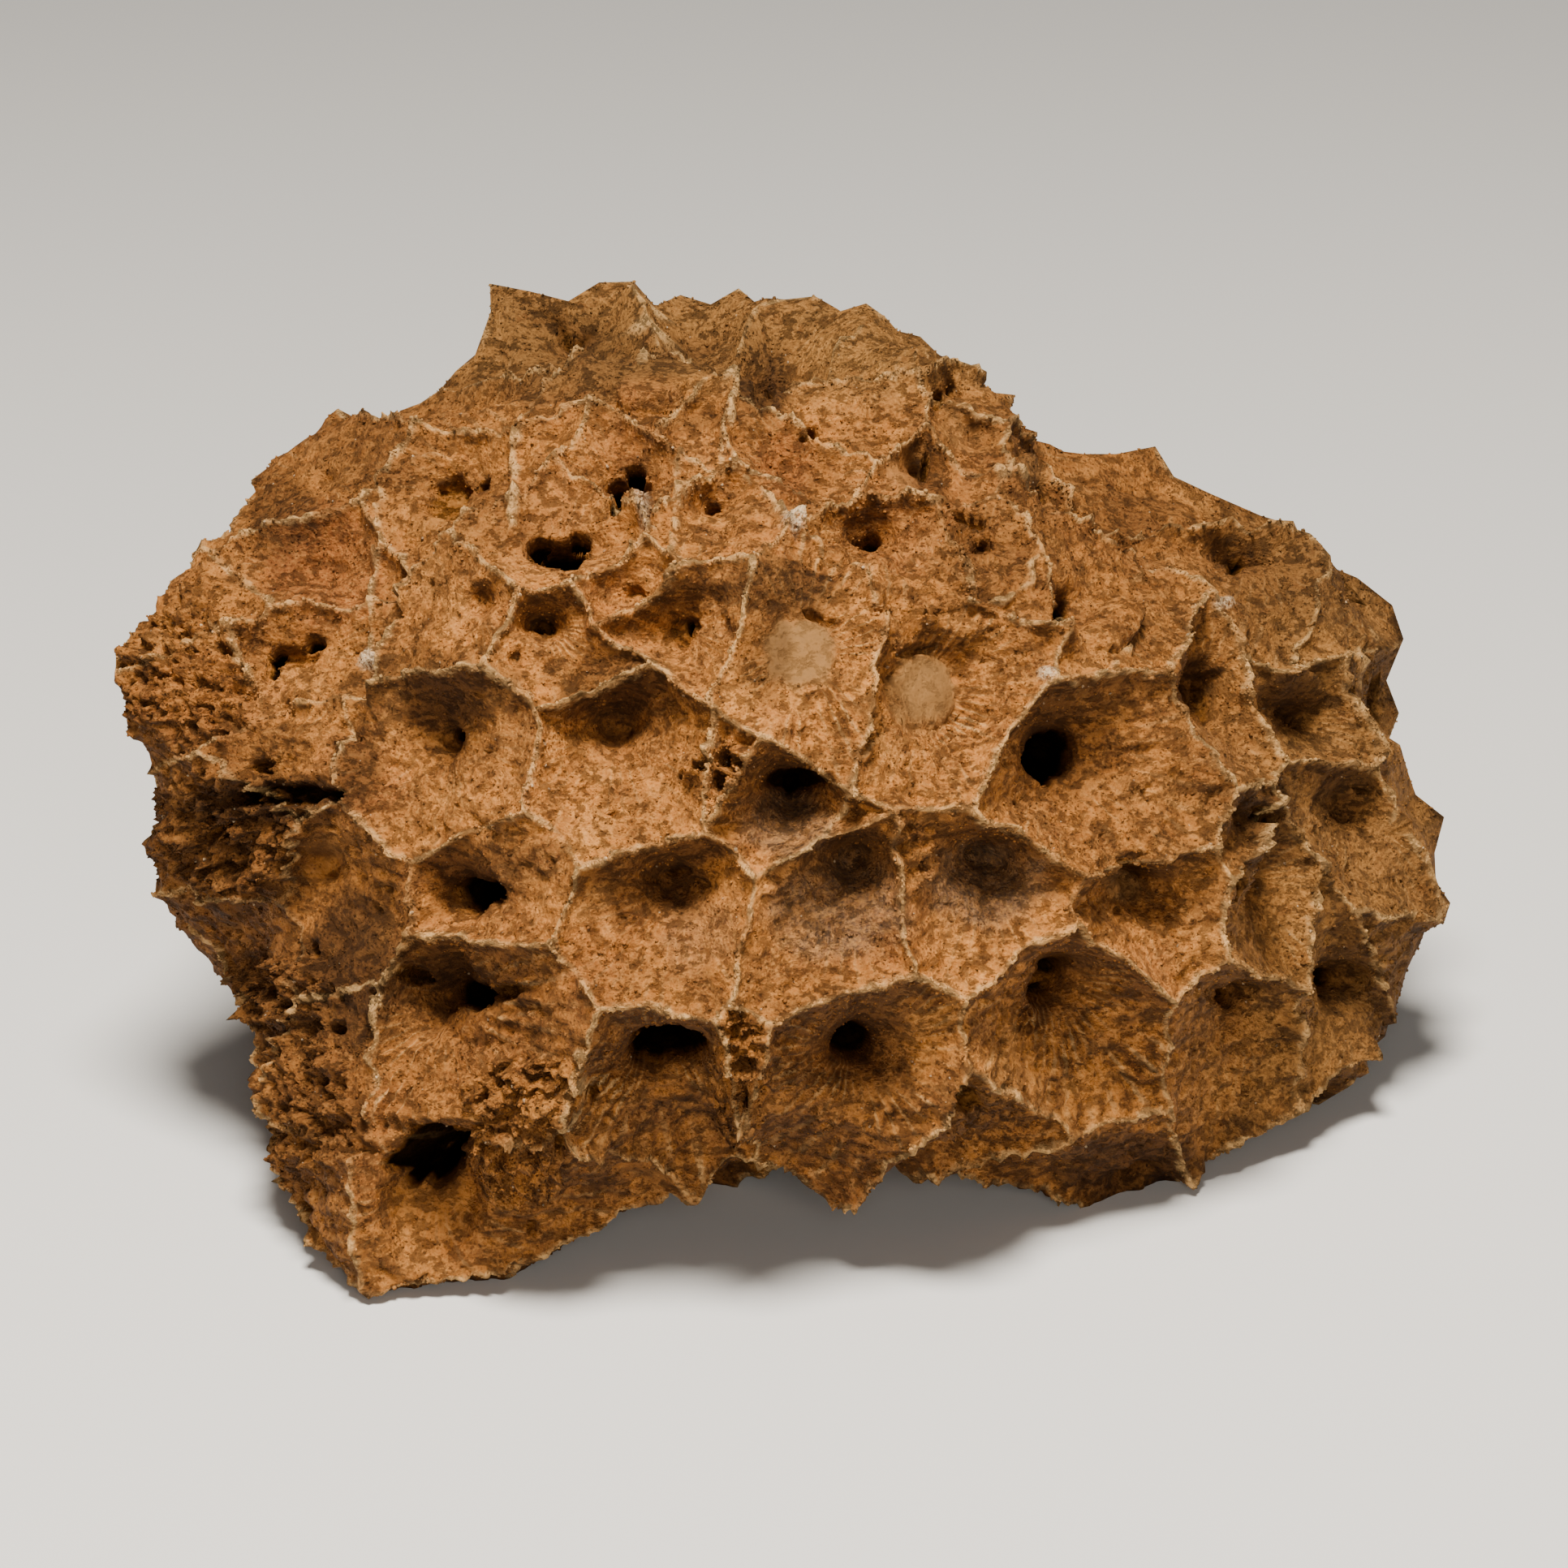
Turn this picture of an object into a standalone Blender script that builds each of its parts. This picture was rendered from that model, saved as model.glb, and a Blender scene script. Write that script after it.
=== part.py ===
# Fossil colonial rugose coral: one massive colony of many-sided cups that share sharp walls.
# The body is a radius for each direction around an inner point. Every cup is a cell of a weighted
# Voronoi diagram on the sphere of those directions, with its corners raised to crests, and its middle
# sunk to a bowl with a narrower shaft. The colony is cut off flat underneath.
# Metres, +X to the photograph's right, -Y towards its camera, +Z up.

import math

import bmesh
import bpy
import numpy as np

# Driving dimensions
COLONY_WIDTH = 0.0998
MILLIMETRE = 0.001
INNER_POINT_HEIGHT = 0.029
CREST_HEIGHT = 0.0006
WALL_SAG = 0.0007
SHORTEST_WALL = 0.0016
WALL_OWN_SHARE = 0.6
SLOPE_AT = 0.42
SLOPE_DROP = 0.60
BOWL_DEEPENING = 1.3
SHAFT_TAPER = 0.74
SHAFT_SHARE_OF_ROOM = 0.5
SHAFT_ROOM = 0.055
CUT_CLEARANCE = 0.0003
CUTTER_SIZE = 0.3

# How the photograph was read: pixels of its 1932 x 1932 frame, seen from a little above
COLONY_WIDTH_PX = 1647
PHOTO_MIDDLE_PX = 966
METRES_PER_PX = COLONY_WIDTH / COLONY_WIDTH_PX
VIEW_ELEVATION = math.radians(22)
VIEW_DISTANCE = 0.45
VIEW_TARGET_HEIGHT = 0.0274
SEARCH_DEPTH = 0.06
SEARCH_STEPS = 600
SEARCH_ROUNDS = 4

# How far the cups on the seen side lean from square to the body towards the viewer,
# between two shares of facing them
VIEW_LEAN = 1.2
VIEW_LEAN_FROM = -0.25
VIEW_LEAN_FULL = 0.35

# Smoothing of the body's envelope between its control points, and of its fit at them
BODY_KERNEL = 0.34
BODY_SOFTNESS = 0.01

# How far a corner may move to the place that the photograph gives it
OUTLINE_REACH = math.radians(9)
CORNER_REACH = math.radians(10)

# Cups that no photograph shows, spread evenly over what the named cups leave free:
# shaft radius, bowl depth and shaft depth in mm, from the least to the most
FILLER_LEAST = (1.3, 3.2, 1.0)
FILLER_MOST = (2.1, 4.6, 3.6)
FILLER_TRIES = 150
FILLER_GAP = math.radians(15.5)
SEEN_FACING = -0.1
SEEN_HEIGHT = 0.004
FILLER_SIZE_PX = 92
FILLER_JITTER = 0.045
FILLER_SHAFT_JITTER = 0.027
SEED = 7

STONE_COLOUR = (0.42, 0.20, 0.075, 1.0)
STONE_ROUGHNESS = 0.88

# The body's envelope where the photograph shows it: x px, y px, depth towards the camera in mm
BODY_POINTS = {
    "left_tip": (150, 833, 6),
    "left_shoulder": (225, 715, 4),
    "left_under_lobe": (215, 930, 0),
    "left_waist": (195, 1065, -3),
    "left_flank": (282, 1190, 3),
    "left_heel": (335, 1350, 6),
    "left_foot": (350, 1480, 12),
    "front_foot_tip": (450, 1575, 19),
    "front_foot_right": (630, 1545, 20),
    "front_base_left": (740, 1465, 20),
    "front_base_mid": (930, 1405, 19),
    "front_base_right": (1060, 1460, 16),
    "front_base_far": (1210, 1418, 13),
    "right_base_near": (1330, 1455, 7),
    "right_base_mid": (1470, 1435, 1),
    "right_base_far": (1610, 1345, -3),
    "right_heel": (1700, 1280, -8),
    "right_spur": (1770, 1135, -12),
    "right_dome": (1765, 1010, -15),
    "right_side": (1705, 850, -16),
    "right_shoulder": (1700, 745, -16),
    "right_top": (1590, 650, -16),
    "right_top_edge": (1652, 688, -17),
    "right_saddle": (1495, 650, -13),
    "back_spur": (1420, 572, -14),
    "right_slope_top": (1310, 565, -7),
    "plug_shoulder": (1290, 548, -13),
    "top_right": (1230, 480, -4),
    "top_spur": (1150, 420, -7),
    "top_middle": (1050, 405, -8),
    "back_rim": (940, 385, -14),
    "back_rim_left": (850, 395, -15),
    "back_crown": (690, 368, -15),
    "back_crown_left": (600, 380, -15),
    "back_slope_left": (540, 490, -12),
    "back_slope_edge": (500, 520, -20),
    "back_hump_top": (405, 535, -17),
    "back_hump_side": (325, 620, -18),
    "lobe_notch": (305, 684, -7),
    "crown_cup": (709, 430, -12),
    "back_cup": (860, 430, -12),
    "boulder": (805, 485, -4),
    "valley": (935, 490, -7),
    "top_patch": (1200, 540, 7),
    "upper_brow": (690, 590, 15),
    "upper_brow_right": (890, 580, 16),
    "raised_block": (1050, 470, 4),
    "raised_block_foot": (1040, 585, 13),
    "front_edge_left": (470, 540, 2),
    "front_edge_mid": (600, 535, 8),
    "front_edge_right": (740, 505, 10),
    "front_edge_apex": (906, 495, 10),
    "brow_left": (400, 700, 9),
    "brow_mid": (560, 640, 16),
    "brow_right": (790, 640, 20),
    "brow_far": (1070, 670, 20),
    "lobe_middle": (270, 810, 11),
    "left_cheek": (430, 870, 17),
    "cheek": (560, 950, 26),
    "upper_face": (780, 830, 26),
    "middle_face": (960, 960, 32),
    "right_face": (1200, 860, 25),
    "right_slope": (1350, 700, 12),
    "right_cheek": (1370, 980, 22),
    "right_wall": (1500, 860, 8),
    "far_wall": (1600, 900, -1),
    "left_recess": (400, 1100, 17),
    "left_groove": (350, 1230, 13),
    "jaw_left": (600, 1120, 27),
    "jaw_ledge": (540, 1200, 24),
    "jaw_mid": (860, 1150, 32),
    "jaw_right": (1110, 1150, 29),
    "jaw_far": (1400, 1130, 20),
    "jaw_end": (1580, 1130, 7),
    "lower_left": (560, 1330, 27),
    "lower_mid": (830, 1340, 30),
    "lower_right": (1060, 1340, 29),
    "lower_far": (1310, 1290, 20),
    "lower_end": (1520, 1290, 7),
    "lower_tail": (1660, 1230, -3),
    "crown_foot": (660, 492, -12),
}

# The body's envelope where no photograph shows it:
# azimuth from the viewer towards +X in degrees, elevation in degrees, radius in mm
HIDDEN_POINTS = {
    "right_back": (120, -2, 44),
    "right_back_high": (128, 16, 38),
    "back_right_high": (150, 22, 35),
    "back": (178, 2, 37),
    "back_high": (172, 25, 35),
    "back_left_high": (205, 18, 40),
    "back_low": (175, -30, 36),
    "back_right": (150, -5, 39),
    "back_left": (208, -3, 39),
    "left_back": (240, 3, 42),
    "left_back_low": (235, -30, 40),
    "right_back_low": (125, -30, 42),
    "under_front": (0, -60, 28),
    "under_front_left": (318, -50, 42),
    "under_front_right": (30, -57, 29),
    "under_lump": (62, -45, 41),
    "under": (0, -89, 33),
    "under_left": (270, -52, 40),
    "under_right": (95, -48, 42),
    "under_back": (180, -58, 35),
}

# The cups in the photograph: middle x, y and half width in px, shaft x and y in px,
# then shaft radius, bowl depth and shaft depth in mm
CUPS = {
    "crown": (700, 420, 84, 706, 414, 1.7, 3.2, 1.4),
    "back_shell": (858, 425, 62, 865, 425, 1.4, 2.6, 0.8),
    "back_gap": (945, 470, 30, 943, 474, 1.4, 3.4, 4.0),
    "boulder": (803, 482, 34, 803, 482, 1.1, 0.4, 0.2),
    "boulder_slope": (868, 508, 30, 868, 508, 1.0, 1.2, 0.4),
    "raised_block": (1042, 498, 90, 1000, 532, 1.0, 1.3, 1.0),
    "behind_block": (1118, 418, 36, 1118, 424, 1.0, 1.5, 0.8),
    "top_notch": (1195, 470, 44, 1165, 482, 1.0, 2.0, 1.5),
    "grey_patch": (1202, 535, 38, 1202, 537, 1.1, 1.2, 0.4),
    "long_plug": (1122, 572, 44, 1124, 576, 1.5, 2.2, 1.4),
    "wedge": (550, 605, 86, 550, 606, 2.0, 2.2, 3.6),
    "black_window": (690, 645, 84, 690, 680, 2.5, 2.2, 6.0),
    "chipped": (794, 602, 46, 772, 598, 1.4, 1.8, 3.4),
    "dark_pit": (890, 625, 74, 876, 628, 1.6, 2.2, 3.4),
    "leaning_facet": (970, 575, 42, 975, 580, 1.2, 1.4, 0.5),
    "cross": (1082, 668, 64, 1069, 664, 1.1, 2.2, 1.6),
    "torn_recess": (1212, 668, 60, 1210, 672, 2.2, 2.4, 1.6),
    "small_plug": (1278, 588, 50, 1287, 605, 1.0, 2.2, 1.2),
    "sloping_cup": (1362, 712, 128, 1316, 752, 1.2, 2.8, 4.0),
    "back_notch": (1425, 600, 46, 1420, 592, 1.0, 1.8, 0.8),
    "pale_slope": (538, 752, 72, 590, 742, 1.4, 1.4, 0.8),
    "round_pit": (668, 800, 56, 667, 770, 1.5, 2.4, 2.6),
    "small_rest": (778, 735, 26, 776, 735, 1.0, 1.6, 0.8),
    "filled_pit": (850, 795, 64, 845, 777, 1.4, 2.4, 1.4),
    "grey_bowl": (995, 800, 88, 988, 800, 2.6, 2.8, 0.5),
    "oval_plug": (1172, 868, 112, 1140, 850, 2.7, 3.2, 0.5),
    "black_eye": (1350, 955, 106, 1290, 930, 2.0, 4.4, 6.5),
    "side_oval": (1500, 862, 92, 1472, 856, 2.0, 3.0, 2.2),
    "left_great": (530, 945, 118, 550, 906, 1.2, 3.6, 1.0),
    "middle_great": (768, 940, 116, 755, 890, 1.6, 3.8, 0.5),
    "spongy_pit": (885, 952, 30, 888, 955, 1.2, 2.0, 1.8),
    "arch": (975, 1000, 72, 976, 966, 3.6, 4.8, 2.4),
    "pupil": (592, 1108, 94, 582, 1104, 2.0, 2.2, 5.6),
    "creased": (815, 1150, 104, 832, 1092, 2.0, 3.8, 0.8),
    "mauve_bowl": (1035, 1130, 102, 1050, 1060, 2.2, 3.6, 0.8),
    "mauve_cup": (1202, 1098, 82, 1208, 1062, 3.3, 4.0, 1.4),
    "ringed": (1412, 1122, 84, 1394, 1094, 2.5, 3.6, 1.4),
    "cracked": (1580, 1115, 98, 1534, 1084, 1.3, 4.0, 2.0),
    "shadow_gap": (1560, 1000, 40, 1560, 1003, 1.4, 3.0, 1.6),
    "right_small": (1664, 1010, 56, 1672, 985, 1.2, 2.8, 1.0),
    "right_dome": (1745, 1005, 52, 1745, 1000, 1.2, 0.8, 0.2),
    "right_upper": (1612, 885, 58, 1588, 848, 1.4, 3.0, 1.4),
    "green_hollow": (1692, 858, 40, 1692, 864, 1.6, 2.4, 0.8),
    "two_pits": (1580, 712, 66, 1530, 690, 1.5, 2.6, 1.6),
    "right_rim": (1664, 740, 56, 1664, 735, 1.3, 2.6, 0.8),
    "gate": (805, 1350, 92, 812, 1296, 3.6, 4.4, 4.5),
    "lattice": (915, 1325, 42, 914, 1325, 1.1, 1.4, 0.6),
    "dark_well": (1060, 1345, 116, 1054, 1287, 3.1, 4.6, 4.0),
    "front_well": (545, 1475, 100, 534, 1428, 3.2, 3.0, 5.6),
    "ledge_hollow": (575, 1295, 122, 560, 1225, 2.2, 4.0, 1.4),
    "ribbed": (1315, 1275, 112, 1295, 1210, 2.2, 4.6, 2.2),
    "torn_foot": (1200, 1385, 72, 1192, 1354, 2.2, 3.8, 2.6),
    "dull_right": (1525, 1305, 92, 1515, 1226, 2.0, 3.8, 1.6),
    "far_hollow": (1668, 1245, 58, 1655, 1205, 2.2, 3.4, 2.2),
    "under_lump": (1400, 1440, 58, 1400, 1440, 1.4, 1.4, 1.0),
    "right_spur": (1752, 1165, 48, 1745, 1160, 1.3, 2.0, 0.6),
    "base_arch": (935, 1470, 70, 932, 1478, 2.4, 3.4, 1.2),
    "rough_side": (285, 1020, 78, 290, 1020, 1.4, 1.2, 0.8),
    "grooved_side": (325, 1195, 84, 330, 1190, 1.4, 1.2, 0.6),
    "smooth_dent": (412, 1112, 66, 402, 1062, 1.6, 2.2, 0.8),
    "rough_heel": (385, 1345, 52, 388, 1345, 1.2, 1.4, 0.8),
    "left_foot": (372, 1465, 44, 376, 1490, 1.2, 1.8, 1.2),
    "lobe_disc": (258, 738, 62, 262, 745, 1.3, 0.4, 0.3),
    "lobe": (235, 838, 70, 262, 822, 1.4, 0.6, 0.4),
    "lobe_root": (365, 810, 62, 352, 806, 1.4, 1.2, 1.6),
    "under_lobe": (320, 945, 40, 330, 958, 1.2, 0.8, 0.6),
    "red_recess": (392, 690, 76, 400, 700, 1.6, 1.6, 0.8),
    "back_hump": (395, 585, 66, 398, 588, 1.4, 1.6, 0.6),
    "back_slope": (540, 500, 50, 545, 500, 1.3, 1.8, 0.6),
}

# Cups just behind the outline: x px, y px, depth towards the camera in mm, half width in px
BEHIND_CUPS = {
    "behind_slope": (500, 440, -24, 80),
    "behind_hump": (345, 500, -28, 80),
    "behind_hump_low": (285, 610, -26, 80),
    "behind_crown": (690, 330, -32, 90),
    "behind_shell": (870, 355, -32, 80),
    "behind_top": (1030, 370, -26, 80),
    "behind_spur": (1225, 425, -22, 70),
    "behind_saddle": (1325, 505, -20, 60),
    "behind_two_pits": (1570, 590, -28, 80),
    "behind_rim": (1700, 670, -28, 80),
    "behind_side": (1745, 820, -28, 80),
    "behind_dome": (1790, 950, -28, 70),
    "behind_lobe": (125, 735, -9, 70),
    "behind_waist": (150, 950, -16, 80),
    "behind_flank": (205, 1185, -14, 80),
    "behind_heel": (275, 1400, -5, 70),
}
BEHIND_SHAFT = (1.6, 3.2, 1.6)

# Corners of the walls inside the outline: x px, y px
CORNERS = {
    "left_great_top_left": (438, 854),
    "left_great_right": (652, 996),
    "left_great_bottom": (506, 1063),
    "pupil_top_right": (717, 1065),
    "pupil_bottom_right": (683, 1164),
    "pupil_bottom_left": (514, 1149),
    "creased_bottom_left": (742, 1237),
    "creased_bottom_middle": (880, 1250),
    "creased_bottom_right": (902, 1229),
    "creased_top_right": (937, 1076),
    "mauve_bowl_bottom_left": (948, 1256),
    "mauve_bowl_bottom_right": (1118, 1200),
    "mauve_cup_bottom": (1188, 1228),
    "ribbed_left": (1191, 1314),
    "mauve_cup_right": (1321, 1135),
    "ringed_top_left": (1329, 1078),
    "ringed_bottom": (1444, 1233),
    "ringed_right": (1497, 1176),
    "ringed_top_right": (1497, 1046),
    "cracked_left": (1504, 1078),
    "black_eye_right": (1516, 973),
    "black_eye_left": (1191, 996),
    "arch_top_right": (1050, 973),
    "filled_pit_bottom": (881, 881),
    "filled_pit_left": (805, 821),
    "round_pit_bottom": (667, 873),
    "round_pit_left": (606, 821),
    "round_pit_right": (740, 775),
    "dark_pit_top": (906, 488),
    "white_crumb": (977, 645),
    "leaning_facet_right": (1021, 622),
    "raised_block_foot": (1077, 584),
    "raised_block_right": (1126, 469),
    "torn_recess_bottom": (1199, 732),
    "sloping_cup_bottom": (1430, 835),
    "side_oval_top_right": (1576, 827),
    "side_oval_bottom_right": (1570, 940),
    "shadow_gap_right": (1616, 1062),
    "cracked_bottom": (1602, 1216),
    "ribbed_bottom_right": (1432, 1356),
    "ribbed_bottom_left": (1318, 1394),
    "front_well_right": (694, 1394),
    "raised_block_top": (996, 418),
    "raised_block_left": (954, 432),
    "chipped_top": (735, 488),
    "black_window_top": (635, 535),
    "pale_slope_right": (642, 728),
    "black_eye_top": (1290, 838),
    "two_pits_left": (1486, 728),
}

# Crests that stand on the outline: x px, y px, depth towards the camera in mm
OUTLINE_CRESTS = {
    "lobe_tip": (141, 833, 6),
    "lobe_top": (254, 679, 3),
    "lobe_notch": (300, 692, -14),
    "hump_side": (338, 570, -17),
    "hump_top": (405, 524, -17),
    "slope_foot": (462, 529, -13),
    "slope_head": (530, 484, -15),
    "crown_left": (600, 343, -19),
    "crown_right": (774, 341, -20),
    "shell_right": (958, 372, -18),
    "block_right": (1096, 395, -13),
    "notch_right": (1243, 484, -8),
    "plug_right": (1306, 552, -10),
    "back_spur": (1425, 551, -14),
    "two_pits_top": (1522, 614, -16),
    "rim_top": (1608, 629, -16),
    "rim_right": (1717, 738, -16),
    "green_hollow_right": (1712, 905, -16),
    "dome_right": (1773, 1012, -15),
    "spur_tip": (1788, 1135, -12),
    "spur_foot": (1708, 1302, -7),
    "dull_foot": (1600, 1366, -3),
    "under_lump_right": (1460, 1455, 3),
    "torn_foot_left": (1138, 1462, 12),
    "base_arch_right": (1030, 1487, 16),
    "base_arch_left": (851, 1479, 18),
    "front_foot_right": (639, 1557, 18),
    "front_foot_left": (442, 1588, 19),
    "left_foot_top": (332, 1422, 8),
    "flank": (277, 1170, 1),
    "waist_low": (181, 1092, -2),
    "waist": (179, 1040, -2),
    "under_lobe": (205, 930, -1),
}


# The photograph's view
def view_axes():
    right = np.array((1.0, 0.0, 0.0))
    up = np.array((0.0, math.sin(VIEW_ELEVATION), math.cos(VIEW_ELEVATION)))
    toward = np.array((0.0, -math.cos(VIEW_ELEVATION), math.sin(VIEW_ELEVATION)))
    return right, up, toward


def photo_point(x_px, y_px, depth):
    right, up, toward = view_axes()
    target = np.array((0.0, 0.0, VIEW_TARGET_HEIGHT))
    scale = METRES_PER_PX * (VIEW_DISTANCE - depth) / VIEW_DISTANCE
    across = (x_px - PHOTO_MIDDLE_PX) * scale
    above = (PHOTO_MIDDLE_PX - y_px) * scale
    return target + right * across + up * above + toward * depth


def photo_pixel(point):
    right, up, toward = view_axes()
    offset = point - np.array((0.0, 0.0, VIEW_TARGET_HEIGHT))
    scale = METRES_PER_PX * (VIEW_DISTANCE - offset @ toward) / VIEW_DISTANCE
    return PHOTO_MIDDLE_PX + offset @ right / scale, PHOTO_MIDDLE_PX - offset @ up / scale


def inner_point():
    return np.array((0.0, 0.0, INNER_POINT_HEIGHT))


def unit(vectors):
    return vectors / np.linalg.norm(vectors, axis=-1, keepdims=True)


def direction_from_angles(azimuth, elevation):
    a = math.radians(azimuth)
    e = math.radians(elevation)
    return np.array((math.sin(a) * math.cos(e), -math.cos(a) * math.cos(e), math.sin(e)))


# The body's envelope: a radius for each direction, a smooth surface through the control points
class Envelope:
    def __init__(self):
        points = [photo_point(x, y, depth * MILLIMETRE) for x, y, depth in BODY_POINTS.values()]
        offsets = np.array(points) - inner_point()
        hidden = [direction_from_angles(a, e) * radius * MILLIMETRE
                  for a, e, radius in HIDDEN_POINTS.values()]
        offsets = np.vstack((offsets, hidden))
        radii = np.linalg.norm(offsets, axis=1)
        self.directions = unit(offsets)
        self.mean = radii.mean()
        kernel = self.kernel(self.directions)
        kernel = kernel + BODY_SOFTNESS * np.eye(len(radii))
        self.strength = np.linalg.solve(kernel, radii - self.mean)

    def kernel(self, directions):
        squared_chord = 2.0 - 2.0 * directions @ self.directions.T
        return np.exp(-squared_chord / BODY_KERNEL ** 2)

    def radius(self, directions):
        return self.mean + self.kernel(np.atleast_2d(directions)) @ self.strength

    def normal(self, directions):
        directions = np.atleast_2d(directions)
        pull = self.kernel(directions) * self.strength
        slope = pull @ self.directions * (2.0 / BODY_KERNEL ** 2)
        slope -= directions * (slope * directions).sum(axis=1, keepdims=True)
        return unit(directions * self.radius(directions)[:, None] - slope)

    # The way that a cup opens at each place
    def way_out(self, directions):
        normal = self.normal(directions)
        toward = view_axes()[2]
        share = (normal @ toward - VIEW_LEAN_FROM) / (VIEW_LEAN_FULL - VIEW_LEAN_FROM)
        share = np.clip(share, 0.0, 1.0)
        share = share * share * (3.0 - 2.0 * share)
        return unit(normal + VIEW_LEAN * share[:, None] * toward)

    # Points of the body, sunk into its cups
    def sunk(self, directions, depth):
        directions = np.atleast_2d(directions)
        outside = directions * self.radius(directions)[:, None]
        return inner_point() + outside - self.way_out(directions) * depth


# The direction in which the envelope first shows at a pixel
def direction_at_pixel(envelope, x_px, y_px):
    depths = np.linspace(SEARCH_DEPTH, -SEARCH_DEPTH, SEARCH_STEPS)
    points = np.array([photo_point(x_px, y_px, depth) for depth in depths])
    offsets = points - inner_point()
    above = np.linalg.norm(offsets, axis=1) - envelope.radius(unit(offsets))
    inside = np.nonzero(above < 0.0)[0]
    hit = inside[0] if len(inside) else int(np.argmin(above))
    return unit(offsets[hit])


# The direction whose point, sunk by a depth, shows at a pixel
def direction_over_pixel(envelope, x_px, y_px, depth):
    aim_x, aim_y = x_px, y_px
    for _ in range(SEARCH_ROUNDS):
        direction = direction_at_pixel(envelope, aim_x, aim_y)
        seen_x, seen_y = photo_pixel(envelope.sunk(direction, depth)[0])
        aim_x += x_px - seen_x
        aim_y += y_px - seen_y
    return direction


# All cups: direction, reach and shaft of each, first the named ones and then the fillers
def collect_cups(envelope):
    cups = []
    for x, y, size, pit_x, pit_y, pit_radius, bowl, shaft in CUPS.values():
        middle = direction_at_pixel(envelope, x, y)
        bowl_depth = bowl * BOWL_DEEPENING * MILLIMETRE
        pit = direction_over_pixel(envelope, pit_x, pit_y, bowl_depth)
        cups.append((middle, size * METRES_PER_PX, pit, pit_radius * MILLIMETRE,
                     bowl_depth, shaft * MILLIMETRE))
    for x, y, depth, size in BEHIND_CUPS.values():
        middle = unit(photo_point(x, y, depth * MILLIMETRE) - inner_point())
        cups.append((middle, size * METRES_PER_PX, middle, *(np.array(BEHIND_SHAFT) * MILLIMETRE)))
    toward = view_axes()[2]
    random = np.random.RandomState(SEED)
    golden_angle = math.pi * (3.0 - math.sqrt(5.0))
    for i in range(FILLER_TRIES):
        rise = 1.0 - 2.0 * (i + 0.5) / FILLER_TRIES
        ring = math.sqrt(1.0 - rise * rise)
        turn = golden_angle * i
        direction = np.array((math.cos(turn) * ring, math.sin(turn) * ring, rise))
        direction = unit(direction + random.normal(0.0, FILLER_JITTER, 3))
        pit = unit(direction + random.normal(0.0, FILLER_SHAFT_JITTER, 3))
        sizes = random.uniform(FILLER_LEAST, FILLER_MOST)
        nearest = max(float(direction @ cup[0]) for cup in cups)
        height = INNER_POINT_HEIGHT + direction[2] * float(envelope.radius(direction)[0])
        seen = direction @ toward > SEEN_FACING and height > SEEN_HEIGHT
        if nearest < math.cos(FILLER_GAP) and not seen:
            cups.append((direction, FILLER_SIZE_PX * METRES_PER_PX, pit, *(sizes * MILLIMETRE)))
    return cups


# Corners of the weighted Voronoi cells, from the hull of the cups' points
def voronoi_corners(envelope, cups):
    hull = bmesh.new()
    index_of = {}
    for i, cup in enumerate(cups):
        radius = float(envelope.radius(cup[0])[0])
        reach = 1.0 + 0.5 * (cup[1] / radius) ** 2
        index_of[hull.verts.new(cup[0] * reach)] = i
    bmesh.ops.convex_hull(hull, input=hull.verts)
    bmesh.ops.triangulate(hull, faces=hull.faces)
    hull.normal_update()
    corners = []
    faces_around = {i: [] for i in range(len(cups))}
    for face in hull.faces:
        normal = np.array(face.normal)
        if normal @ np.array(face.calc_center_median()) < 0.0:
            normal = -normal
        for vertex in face.verts:
            faces_around[index_of[vertex]].append(len(corners))
        corners.append(normal)
    hull.free()
    return np.array(corners), faces_around


# Each cell as corner numbers in order around its cup
def ordered_cells(corners, cups, faces_around):
    cells = []
    for i, cup in enumerate(cups):
        if len(faces_around[i]) < 3:
            continue
        middle = unit(corners[faces_around[i]].mean(axis=0))
        side = unit(np.cross(middle, (0.31, 0.17, 0.93)))
        other = np.cross(middle, side)
        angles = [(math.atan2(corners[c] @ other, corners[c] @ side), c) for c in faces_around[i]]
        cells.append((cup, [c for _, c in sorted(angles)]))
    return cells


# Corners that the photograph places are moved onto their places, the closest pairs first
def pin_corners(envelope, corners):
    targets = []
    target_radii = []
    reaches = []
    for x, y, depth in OUTLINE_CRESTS.values():
        offset = photo_point(x, y, depth * MILLIMETRE) - inner_point()
        targets.append(unit(offset))
        target_radii.append(float(np.linalg.norm(offset)))
        reaches.append(OUTLINE_REACH)
    for x, y in CORNERS.values():
        direction = direction_at_pixel(envelope, x, y)
        targets.append(direction)
        target_radii.append(float(envelope.radius(direction)[0]) + CREST_HEIGHT)
        reaches.append(CORNER_REACH)
    radii = envelope.radius(corners) + CREST_HEIGHT
    angles = np.arccos(np.clip(np.array(targets) @ corners.T, -1.0, 1.0))
    placed = set()
    taken = set()
    for pair in np.argsort(angles, axis=None):
        target, corner = divmod(int(pair), len(corners))
        if target in placed or corner in taken or angles[target, corner] > reaches[target]:
            continue
        placed.add(target)
        taken.add(corner)
        radii[corner] = target_radii[target]
        corners[corner] = targets[target]
    return corners, radii, taken


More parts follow.
